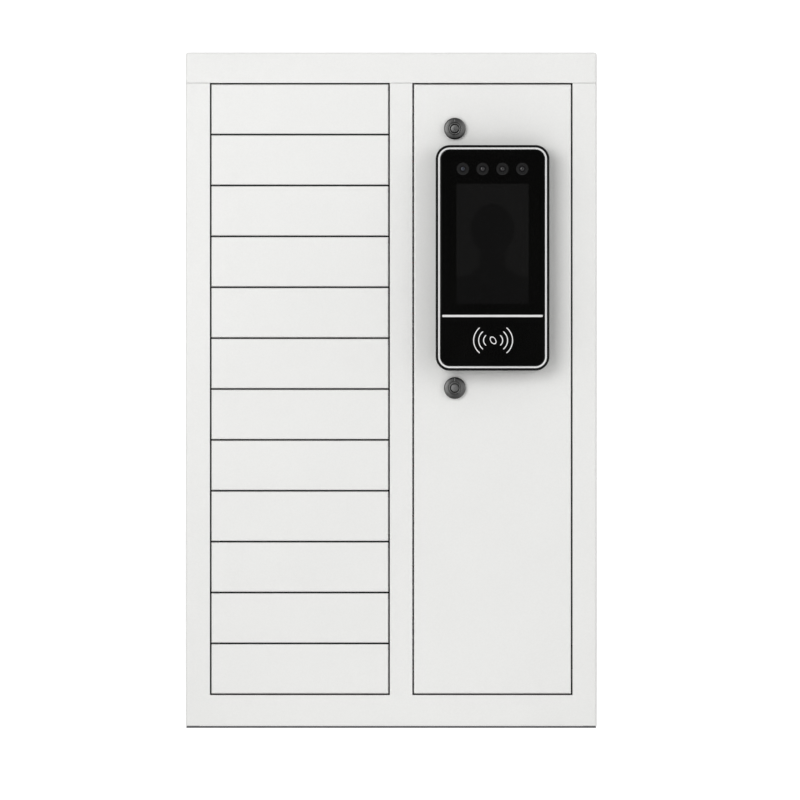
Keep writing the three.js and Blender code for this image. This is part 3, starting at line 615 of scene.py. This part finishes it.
# Light bar, with its round ends and a softly crowned face
BAR_LOW, BAR_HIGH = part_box("terminal_light_bar")
BAR = middle("terminal_light_bar")
mesh = bmesh.new()
bar_wide, bar_tall = BAR_HIGH.x - BAR_LOW.x, BAR_HIGH.z - BAR_LOW.z - 0.3 * MM
bar_steps = [
    (0, BAR_HIGH.y),
    (0, BAR_LOW.y + 0.1 * MM),
    (0.12 * MM, BAR_LOW.y + 0.02 * MM),
    (0.3 * MM, BAR_LOW.y),
]
loops = []
for inset, y in bar_steps:
    outline = rounded_rect(bar_wide - 2 * inset, bar_tall - 2 * inset, 0.8 * MM - inset, 5)
    loops.append([Vector((BAR.x + u, y, BAR.z + 0.15 * MM + v)) for u, v in outline])
add_loft(mesh, loops)
piece("light_bar", mesh, light_guide, "control_door", ["terminal_light_bar"])

# Four camera and lamp windows
CAMERA_UP = middle("terminal_cameras").z - TERMINAL.z
CAMERA_PITCH = 17.8 * MM
WINDOW = 5.5 * MM
WELL = 3.1 * MM
rims, wells, lamps, camera_lens = bmesh.new(), bmesh.new(), bmesh.new(), bmesh.new()
for number, step in enumerate((-1.5, -0.5, 0.5, 1.5)):
    place = on_glass(step * CAMERA_PITCH, CAMERA_UP)
    rim = [(WINDOW, 0), (WINDOW, 0.6 * PRINT), (WINDOW - 0.3 * MM, PRINT), (WELL, PRINT), (WELL, 0)]
    add_turned(rims, rim, place, ring=True)
    add_turned(wells, [(WELL, 0), (WELL, 0.8 * PRINT), (0.5 * MM, 0.5 * PRINT)], place)
    dome = [(1.7 * MM, 0), (1.6 * MM, 3 * PRINT), (1.1 * MM, 7 * PRINT), (0.2 * MM, 9 * PRINT)]
    add_turned(camera_lens if number == 0 else lamps, dome, place, 32)
piece("camera_window_rims", rims, window_rim, "control_door", ["terminal_cameras"])
piece("camera_window_wells", wells, window_dark, "control_door")
piece("camera_lens", camera_lens, lens_blue, "control_door")
piece("lamp_lenses", lamps, lens_grey, "control_door")

# Where to hold a card: three waves on each side of a small tag
WAVE_UP = -74.2 * MM
mesh = bmesh.new()
for radius in (5.6, 10.0, 14.5):
    for side, start in ((1, -50), (-1, 130)):
        wave = stroke((side * 3 * MM, 0), radius * MM, start, start + 100, 0.85 * MM)
        add_plate(mesh, wave, PRINT, on_glass(0.5 * MM, WAVE_UP))
tag = on_glass(0.5 * MM, WAVE_UP) @ Matrix.Rotation(math.radians(35), 4, "Z")
tag_angles = [TAU * i / 28 for i in range(28)]
outer, inner = [
    [tag @ Vector((2.5 * reach * math.cos(a), 3.9 * reach * math.sin(a), 0)) for a in tag_angles]
    for reach in (1.0 * MM, 0.76 * MM)
]
lift = Vector((0, -PRINT, 0))
add_loft(mesh, [outer, [p + lift for p in outer], [p + lift for p in inner], inner], ring=True)
piece("card_mark", mesh, white_print, "control_door")

# Rear box of the terminal, seen when the control door is open
mesh = bmesh.new()
BOX_WIDE, BOX_TALL = 60 * MM, 100 * MM
BOX_BACK = SHELL_HIGH.y
loops = []
box_steps = [
    (0, DOOR_FACE - 1 * MM),
    (0, BOX_BACK - 1.2 * MM),
    (0.4 * MM, BOX_BACK - 0.3 * MM),
    (1.2 * MM, BOX_BACK),
]
for inset, y in box_steps:
    outline = rounded_rect(BOX_WIDE - 2 * inset, BOX_TALL - 2 * inset, 3 * MM - inset, 6)
    loops.append([Vector((TERMINAL.x + u, y, TERMINAL.z + v)) for u, v in outline])
add_loft(mesh, loops)
for step in range(7):
    z = TERMINAL.z + (step - 3) * 6 * MM + 12 * MM
    low = (TERMINAL.x - 16 * MM, BOX_BACK - 0.2 * MM, z - 0.9 * MM)
    add_block(mesh, low, (TERMINAL.x + 16 * MM, BOX_BACK + 0.5 * MM, z + 0.9 * MM), 0.3 * MM)
piece("terminal_rear_box", mesh, black_plastic, "control_door")

mesh = bmesh.new()
for u in (-1, 1):
    for v in (-1, 1):
        spot = (TERMINAL.x + u * 25 * MM, BOX_BACK, TERMINAL.z + v * 45 * MM)
        add_screw(mesh, spot, (0, 1, 0), 2.2 * MM)
piece("terminal_rear_screws", mesh, screw_steel, "control_door")

mesh = bmesh.new()
plug_low = (TERMINAL.x - 14 * MM, BOX_BACK - 0.1 * MM, TERMINAL.z - 38 * MM)
add_block(mesh, plug_low, (TERMINAL.x + 14 * MM, BOX_BACK + 5 * MM, TERMINAL.z - 29 * MM), 0.5 * MM)
for pin in range(6):
    x = TERMINAL.x + (pin - 2.5) * 4 * MM
    low = (x - 1.3 * MM, BOX_BACK + 4.8 * MM, TERMINAL.z - 36 * MM)
    add_block(mesh, low, (x + 1.3 * MM, BOX_BACK + 5.6 * MM, TERMINAL.z - 31 * MM), 0.2 * MM)
piece("terminal_plug", mesh, white_plastic, "control_door")


# ---------------------------------------------------------------- cam locks
ARM_THICK = 1.6 * MM


def lock_head(where):
    """Head, threaded barrel and the recess round the turning plug."""
    node = "cam_lock_" + where
    low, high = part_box(node)
    centre = middle(node)
    axis = looking_back((centre.x, low.y, centre.z))
    deep = high.y - low.y
    thick = 4.4 * MM
    mesh = bmesh.new()
    profile = [
        (5.6, 0.25), (5.75, 0.05), (5.95, 0.0), (8.2, 0.05), (8.9, 0.3), (9.45, 0.75),
        (9.75, 1.4), (9.8, 2.0), (9.8, 4.2), (9.65, 4.4), (7.9, 4.4),
    ]
    profile = in_mm(profile)
    pitch = 0.8 * MM
    turns = int((deep - thick) / pitch) - 1
    for turn in range(turns):
        start = thick + (turn + 0.4) * pitch
        profile += [(7.9 * MM, start), (7.5 * MM, start + 0.4 * MM)]
    profile += [(7.5 * MM, deep), (5.6 * MM, deep)]
    add_turned(mesh, profile, axis, 64, ring=True)
    piece("lock_head_" + where, mesh, nickel_turned, "control_door", [node])

    # A raised index ridge at the top of the head, in a lighter copy of the lock metal as a painted
    # highlight, between two near-black strips that lie on the face as the painted shade of two grooves
    for name, half, lift, look in (("painted_shade", 0.75, 0.02, nickel_painted_shade), ("painted_highlight_rib", 0.3, 0.12, nickel_painted_highlight)):
        mesh = bmesh.new()
        add_block(
            mesh,
            (centre.x - half * MM, low.y - lift * MM, centre.z + 5.9 * MM),
            (centre.x + half * MM, low.y + 0.4 * MM, centre.z + 8.6 * MM),
            0.02 * MM,
            1,
        )
        piece(f"lock_index_{name}_{where}", mesh, look, "control_door")

    # Washer and nut behind the door's sheet
    sheet_back = DOOR_FACE + SHEET
    mesh = bmesh.new()
    washer = [(8.0, 0.05), (12.0, 0.05), (12.2, 0.3), (12.2, 1.0), (12.0, 1.2), (8.0, 1.2)]
    place = looking_back((centre.x, sheet_back, centre.z))
    add_turned(mesh, in_mm(washer), place, ring=True)
    place = looking_back((centre.x, sheet_back + 1.3 * MM, centre.z))
    rows = ((0.93, 0.0), (1.0, 0.5), (1.0, 4.0), (0.93, 4.5))
    loops = [hexagon(place, 12.4 * MM, height * MM, reach=reach) for reach, height in rows]
    loops += [circle(place, 8.0 * MM, height * MM, 48) for height in (4.5, 0.0)]
    add_loft(mesh, loops, ring=True)
    piece("lock_nut_" + where, mesh, screw_steel, "control_door")


def lock_plug(where):
    """The turning plug with its ring-shaped keyway, and the cam on its tail."""
    node = "lock_cam_" + where
    low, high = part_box(node)
    centre = middle("cam_lock_" + where)
    axis = looking_back((centre.x, low.y, centre.z))
    tail = high.y - low.y - 4.6 * MM
    mesh = bmesh.new()
    rings = [
        (0.0005, 0.15), (2.2, 0.12), (3.1, 0.17), (3.4, 0.35), (3.5, 0.6), (3.5, 2.5), (4.3, 2.5),
        (4.3, 0.35), (4.4, 0.1), (4.6, 0.0), (5.0, 0.0), (5.25, 0.15), (5.3, 0.4),
    ]
    profile = in_mm(rings) + [(5.3 * MM, tail), (0.0005 * MM, tail)]
    add_turned(mesh, profile, axis, 64)
    piece("lock_plug_" + where, mesh, nickel, upper_or_lower[where], [node])

    mesh = bmesh.new()
    cap = [(2.5, 0.16), (2.45, 0.06), (2.1, 0.0), (0.9, -0.04), (0.8, 0.1), (0.0005, 0.12)]
    add_turned(mesh, in_mm(cap), axis)
    piece("keyway_pin_" + where, mesh, nickel_pin, upper_or_lower[where])

    # A near-black ring at the bottom of the keyway groove: painted shade in the recess.
    mesh = bmesh.new()
    painted_shade = [(3.52, 2.45), (3.52, 2.49), (4.28, 2.49), (4.28, 2.45)]
    add_turned(mesh, in_mm(painted_shade), axis, ring=True)
    piece("keyway_floor_" + where, mesh, nickel_painted_shade, upper_or_lower[where])

    mesh = bmesh.new()
    arm = arc((0, 0), 8.5 * MM, -10, 190, 24)
    arm += [(-6 * MM, -41 * MM)] + arc((0, -41 * MM), 6 * MM, 180, 360, 16)[1:-1] + [(6 * MM, -41 * MM)]
    cam_y = high.y - 4.4 * MM
    place = front_frame_at(centre.x, cam_y + ARM_THICK, centre.z)
    add_plate(mesh, arm, ARM_THICK, place)
    made = piece("lock_cam_arm_" + where, mesh, screw_steel, upper_or_lower[where])
    edges = made.modifiers.new("edges", "BEVEL")
    edges.width, edges.segments, edges.limit_method = 0.25 * MM, 2, "ANGLE"

    mesh = bmesh.new()
    place = looking_back((centre.x, cam_y + ARM_THICK, centre.z))
    rows = ((1.0, 0.0), (1.0, 2.2), (0.93, 2.7))
    add_loft(mesh, [hexagon(place, 5.1 * MM, height * MM, reach=reach) for reach, height in rows])
    piece("lock_cam_nut_" + where, mesh, zinc, upper_or_lower[where])


upper_or_lower = {"upper": "upper_cam", "lower": "lower_cam"}
for where in ("upper", "lower"):
    lock_head(where)
    lock_plug(where)


# ---------------------------------------------------------------- electric locks and strikes
def lock_fittings(row):
    """Latch hook in the mouth, cover plate, release lever and screws of one electric lock."""
    low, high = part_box("lock_" + row)
    z = middle("lock_" + row).z
    face = low.x
    mesh = bmesh.new()
    near = (face - 0.5 * MM, low.y + 2 * MM, z - 16.2 * MM)
    add_block(mesh, near, (face + 0.2 * MM, low.y + 20.5 * MM, z + 16.2 * MM), 0.15 * MM)
    latch_x = face + 4.2 * MM
    place = Matrix.Translation((latch_x, low.y + 12.6 * MM, z)) @ Matrix.Rotation(math.pi / 2, 4, "Y")
    add_turned(mesh, in_mm([(1.9, -0.1), (2.2, 0.2), (2.2, 4.9), (1.9, 5.2)]), place, 24)
    piece("lock_cover_" + row, mesh, screw_steel, "cabinet")
    mesh = bmesh.new()
    for v in (-1, 1):
        add_screw(mesh, (face - 0.5 * MM, low.y + 6 * MM, z + v * 13 * MM), (-1, 0, 0), 1.7 * MM)
        add_screw(mesh, (face - 0.5 * MM, low.y + 17 * MM, z + v * 13 * MM), (-1, 0, 0), 1.7 * MM)
    piece("lock_screws_" + row, mesh, zinc, "cabinet")
    mesh = bmesh.new()
    near = (face + 1.2 * MM, low.y + 25 * MM, z - 10 * MM)
    add_block(mesh, near, (face + 1.9 * MM, low.y + 45 * MM, z + 10 * MM), 0.3 * MM)
    near = (high.x - 9.4 * MM, low.y + 33.2 * MM, z - 4.4 * MM)
    add_block(mesh, near, (high.x + 0.6 * MM, low.y + 42.8 * MM, z + 4.4 * MM), 0.5 * MM)
    piece("lock_coil_and_plug_" + row, mesh, white_plastic, "cabinet")


for row in ROWS:
    lock_fittings(row)


# ---------------------------------------------------------------- wiring behind the control door
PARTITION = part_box("centre_partition")[0].x + SHEET
DUCT_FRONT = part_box("lock_01")[0].y + 46 * MM
DUCT_WIDE, DUCT_DEEP = 25 * MM, 22 * MM


def wiring_duct():
    """A slotted duct up the partition, which takes every lock's wires to the control board."""
    mesh = bmesh.new()
    left, front = PARTITION + 0.3 * MM, DUCT_FRONT
    right, back = left + DUCT_DEEP, front + DUCT_WIDE
    low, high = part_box("base_deck")[1].z + 6 * MM, TOP - 45 * MM
    wall = 1.2 * MM
    add_block(mesh, (left, front, low), (left + wall, back, high), 0.2 * MM)
    fingers = int((high - low) / (9 * MM))
    for step in range(fingers):
        z = low + (step + 0.5) * (high - low) / fingers
        for y in (front, back - wall):
            near = (left + wall * 0.5, y, z - 2.6 * MM)
            add_block(mesh, near, (right, y + wall, z + 2.6 * MM), 0.15 * MM, 1)
    near = (right - wall * 0.4, front - 0.3 * MM, low)
    add_block(mesh, near, (right + wall, back + 0.3 * MM, high), 0.4 * MM)
    return mesh


grey_plastic = moulded("grey_moulding", (0.28, 0.29, 0.3), 0.5)
piece("wiring_duct", wiring_duct(), grey_plastic, "cabinet")


def add_wire(mesh, points, radius, steps=8):
    """A round wire through the points, which lie on a smooth path."""
    loops = []
    up = Vector((0, 0, 1))
    for i, point in enumerate(points):
        ahead = points[min(i + 1, len(points) - 1)] - points[max(i - 1, 0)]
        side = ahead.cross(up)
        if side.length < 1e-9:
            side = Vector((1, 0, 0))
        side.normalize()
        rise = side.cross(ahead).normalized()
        loops.append([
            point + radius * (math.cos(TAU * k / steps) * side + math.sin(TAU * k / steps) * rise)
            for k in range(steps)
        ])
    add_loft(mesh, loops)


def bend(start, start_way, end, end_way, count=14):
    """A smooth path from start to end that leaves and arrives along the given ways."""
    a, b = Vector(start), Vector(end)
    c, d = a + Vector(start_way), b - Vector(end_way)
    path = []
    for i in range(count + 1):
        t = i / count
        s = 1 - t
        path.append(s**3 * a + 3 * s * s * t * c + 3 * s * t * t * d + t**3 * b)
    return path


wire_red = moulded("wire_red", (0.35, 0.012, 0.01), 0.4)
wire_black = moulded("wire_black", (0.012, 0.012, 0.013), 0.4)
for color, look, rise in (("red", wire_red, 1.4), ("black", wire_black, -1.4)):
    mesh = bmesh.new()
    for row in ROWS:
        low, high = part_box("lock_" + row)
        z = middle("lock_" + row).z + rise * MM
        start = (high.x + 0.4 * MM, low.y + 38 * MM + rise * MM, z)
        end = (PARTITION + 15 * MM, DUCT_FRONT + 5 * MM, z - 3 * MM)
        add_wire(mesh, bend(start, (9 * MM, 0, 0), end, (0, 8 * MM, 0)), 0.6 * MM)
    piece("lock_wires_" + color, mesh, look, "cabinet")


# ---------------------------------------------------------------- control board
BOARD_LOW, BOARD_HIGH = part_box("control_board")
BOARD_FACE = BOARD_LOW.y


def on_board(u, v):
    """A place on the board's face, u and v from 0 to 1 across and up."""
    return (
        BOARD_LOW.x + u * (BOARD_HIGH.x - BOARD_LOW.x),
        BOARD_LOW.z + v * (BOARD_HIGH.z - BOARD_LOW.z),
    )


def on_board_block(mesh, x, z, wide, tall, high, bevel=0.0):
    """A block that stands high millimetres off the board, wide by tall, with its middle at x, z."""
    low = (x - wide / 2 * MM, BOARD_FACE - high * MM, z - tall / 2 * MM)
    add_block(mesh, low, (x + wide / 2 * MM, BOARD_FACE - 0.1 * MM, z + tall / 2 * MM), bevel * MM)


LEAD_PITCH = 1.27 * MM
CHIPS = (  # place across and up the board, then width and height in millimetres
    (0.5, 0.56, 16, 16),
    (0.28, 0.3, 9, 6),
    (0.72, 0.3, 9, 6),
    (0.5, 0.78, 12, 5),
    (0.25, 0.62, 5, 5),
)
chips, connectors, cans, leads = bmesh.new(), bmesh.new(), bmesh.new(), bmesh.new()
for u, v, wide, tall in CHIPS:
    x, z = on_board(u, v)
    on_board_block(chips, x, z, wide, tall, 1.6, 0.2)
    for pin in range(int(wide / 1.3)):
        at = x - wide / 2 * MM + (pin + 0.8) * LEAD_PITCH
        for side in (-1, 1):
            on_board_block(leads, at, z + side * (tall / 2 + 0.5) * MM, 0.4, 1.2, 0.5)
for step in range(len(ROWS)):
    on_board_block(connectors, *on_board(0.07, 0.1 + step * 0.072), 8, 6.8, 6, 0.4)
for u in (0.3, 0.45, 0.6, 0.75):
    on_board_block(connectors, *on_board(u, 0.07), 10, 8, 9, 0.5)
for u, v in ((0.85, 0.5), (0.85, 0.62), (0.85, 0.74), (0.7, 0.88)):
    x, z = on_board(u, v)
    place = Matrix.Translation((x, BOARD_FACE - 0.1 * MM, z)) @ Matrix.Rotation(math.pi / 2, 4, "X")
    can = [(3.8, 0), (4.0, 0.3), (4.0, 9.6), (3.7, 10.0), (3.3, 9.8), (0.001, 9.8)]
    add_turned(cans, in_mm(can), place, 32)
piece("board_chips", chips, black_plastic, "cabinet")
piece("board_chip_leads", leads, screw_steel, "cabinet")
piece("board_connectors", connectors, white_plastic, "cabinet")
piece("board_capacitors", cans, casing, "cabinet")
mesh = bmesh.new()
for u in (6, (BOARD_HIGH.x - BOARD_LOW.x) / MM - 6):
    for v in (6, (BOARD_HIGH.z - BOARD_LOW.z) / MM - 6):
        add_screw(mesh, (BOARD_LOW.x + u * MM, BOARD_FACE, BOARD_LOW.z + v * MM), (0, -1, 0), 2.6 * MM)
piece("board_screws", mesh, screw_steel, "cabinet")


# ---------------------------------------------------------------- power supply
SUPPLY_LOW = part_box("power_supply")[0]
mesh = bmesh.new()
for column in range(8):
    for line in range(5):
        x = SUPPLY_LOW.x + (12 + column * 11) * MM
        z = SUPPLY_LOW.z + (28 + line * 11) * MM
        outline = rounded_rect(7 * MM, 3 * MM, 1.4 * MM, 4)
        add_plate(mesh, outline, 0.12 * MM, front_frame_at(x, SUPPLY_LOW.y, z))
piece("supply_vents", mesh, black_plastic, "cabinet")
mesh, screws = bmesh.new(), bmesh.new()
TERMINALS_Y = SUPPLY_LOW.y + 12 * MM
for step in range(8):
    x = SUPPLY_LOW.x + (10 + step * 11.3) * MM
    low = (x - 4.6 * MM, TERMINALS_Y - 7 * MM, SUPPLY_LOW.z + 2 * MM)
    add_block(mesh, low, (x + 4.6 * MM, TERMINALS_Y + 0.5 * MM, SUPPLY_LOW.z + 15 * MM), 0.5 * MM)
    add_screw(screws, (x, TERMINALS_Y - 7 * MM, SUPPLY_LOW.z + 8 * MM), (0, -1, 0), 2.6 * MM)
piece("supply_terminals", mesh, inlet_plastic, "cabinet")
piece("supply_terminal_screws", screws, screw_steel, "cabinet")


# ---------------------------------------------------------------- mains inlet
INLET_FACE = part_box("power_inlet")[1].x
INLET = middle("power_inlet")
mesh = bmesh.new()
for y, z, tall in ((-7, -1.5, 4.6), (0, 1.6, 4.6), (7, -1.5, 4.6)):
    low = (INLET_FACE - 15.4 * MM, INLET.y + (y - 1) * MM, INLET.z + (z - tall / 2) * MM)
    high = (INLET_FACE - 2.5 * MM, INLET.y + (y + 1) * MM, INLET.z + (z + tall / 2) * MM)
    add_block(mesh, low, high, 0.4 * MM)
piece("inlet_pins", mesh, brass, "cabinet")
mesh = bmesh.new()
for y in (-1, 1):
    corner = [(0, 0), (0, -4.5 * MM), (-y * 4.5 * MM, 0)]
    place = facing((INLET_FACE - 14.9 * MM, INLET.y + y * 11 * MM, INLET.z + 7.5 * MM), (1, 0, 0))
    add_plate(mesh, corner, 14.7 * MM, place)
piece("inlet_key_corners", mesh, inlet_plastic, "cabinet")
mesh = bmesh.new()
for y in (-1, 1):
    add_screw(mesh, (INLET_FACE, INLET.y + y * 15.5 * MM, INLET.z), (1, 0, 0), 2.6 * MM)
piece("inlet_screws", mesh, screw_steel, "cabinet")


# ---------------------------------------------------------------- fixings on the back
BACK_SCREW = 3.2 * MM
BACK_SCREWS = 5  # in each upright row
mesh = bmesh.new()
back_low, back_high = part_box("back_panel")
for x in (back_low.x + 8 * MM, back_high.x - 8 * MM):
    for step in range(BACK_SCREWS):
        low, high = back_low.z + 22 * MM, back_high.z - 47 * MM
        z = low + step * (high - low) / (BACK_SCREWS - 1)
        add_screw(mesh, (x, CABINET_BACK, z), (0, 1, 0), BACK_SCREW)
cover_low, cover_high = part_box("top_cover")
cover_row = (cover_low.z + cover_high.z) / 2 - 2 * MM
for x in (-1, 0, 1):
    add_screw(mesh, (x * 140 * MM, cover_high.y, cover_row), (0, 1, 0), BACK_SCREW)
piece("back_screws", mesh, screw_steel, "cabinet")


# ---------------------------------------------------------------- floor, light and camera
WORLD_LIGHT = 0.47
PATCH_LIGHT = 0.02  # of the dark patch in front
BACKDROP_LIGHT = 1.2  # as the camera sees it


def studio_floor():
    mesh = bmesh.new()
    reach = 30.0
    corners = ((-1, -1), (1, -1), (1, 1), (-1, 1))
    mesh.faces.new([mesh.verts.new((x * reach, y * reach, 0)) for x, y in corners])
    data = bpy.data.meshes.new("studio_floor")
    mesh.to_mesh(data)
    mesh.free()
    look = Look("pale_floor", (0.93, 0.93, 0.93), 0.9, Emission_Color=(1, 1, 1, 1))
    seen = look.node("LightPath").outputs["Is Camera Ray"]
    look.set("Emission Strength", look.spread(seen, 0, 0.7, 0, 1))
    grain = look.noise(0.4, 3.0)
    look.set("Base Color", look.mix(look.spread(grain, 0, 1), (0.92, 0.92, 0.92), (0.94, 0.94, 0.94)))
    data.materials.append(look.material)
    floor = bpy.data.objects.new("studio_floor", data)
    bpy.context.scene.collection.objects.link(floor)


def studio_world():
    """Soft white surroundings, with a dark patch in front of the locker for the glass to mirror."""
    world = bpy.data.worlds.new("studio")
    bpy.context.scene.world = world
    world.use_nodes = True
    nodes, links = world.node_tree.nodes, world.node_tree.links
    background = nodes["Background"]
    way = nodes.new("ShaderNodeTexCoord").outputs["Generated"]
    ahead = nodes.new("ShaderNodeVectorMath")
    ahead.operation = "DOT_PRODUCT"
    links.new(way, ahead.inputs[0])
    ahead.inputs[1].default_value = (0, -1, 0)
    patch = nodes.new("ShaderNodeMapRange")
    links.new(ahead.outputs["Value"], patch.inputs["Value"])
    patch.inputs["From Min"].default_value = 0.93
    patch.inputs["From Max"].default_value = 0.985
    patch.inputs["To Min"].default_value = WORLD_LIGHT
    patch.inputs["To Max"].default_value = PATCH_LIGHT
    patch.interpolation_type = "SMOOTHSTEP"
    seen = nodes.new("ShaderNodeLightPath").outputs["Is Camera Ray"]
    choose = nodes.new("ShaderNodeMix")
    links.new(seen, choose.inputs[0])
    links.new(patch.outputs[0], choose.inputs[2])
    choose.inputs[3].default_value = BACKDROP_LIGHT
    links.new(choose.outputs[0], background.inputs["Strength"])
    background.inputs["Color"].default_value = (1, 1, 1, 1)


def area_light(name, place, aim, size, power):
    data = bpy.data.lights.new(name, "AREA")
    data.shape = "RECTANGLE"
    data.size, data.size_y = size
    data.energy = power
    light = bpy.data.objects.new(name, data)
    bpy.context.scene.collection.objects.link(light)
    light.location = place
    light.rotation_euler = (Vector(aim) - Vector(place)).to_track_quat("-Z", "Y").to_euler()


studio_floor()
studio_world()
LOCKER_MIDDLE = (0, 0, TOP / 2)
area_light("key", (-1.45, -3.0, 1.2), LOCKER_MIDDLE, (2.0, 1.7), 44.8)
area_light("fill", (2.6, -2.4, 1.2), LOCKER_MIDDLE, (2.0, 2.0), 21.4)
area_light("top", (0.2, 0.6, 3.2), LOCKER_MIDDLE, (2.5, 2.5), 8)

VIEW_WIDE = 0.720  # width of the picture at the locker's front
LENS, SENSOR = 1000.0, 36.0
camera_data = bpy.data.cameras.new("camera")
camera_data.lens, camera_data.sensor_width = LENS, SENSOR
camera_data.clip_start, camera_data.clip_end = 0.5, 100.0
camera = bpy.data.objects.new("camera", camera_data)
bpy.context.scene.collection.objects.link(camera)
camera.location = (7.9 * MM, CABINET_FRONT - VIEW_WIDE * LENS / SENSOR, 295.2 * MM)
camera.rotation_euler = (math.pi / 2, 0, 0)
bpy.context.scene.camera = camera
bpy.context.scene.view_settings.view_transform = "Standard"
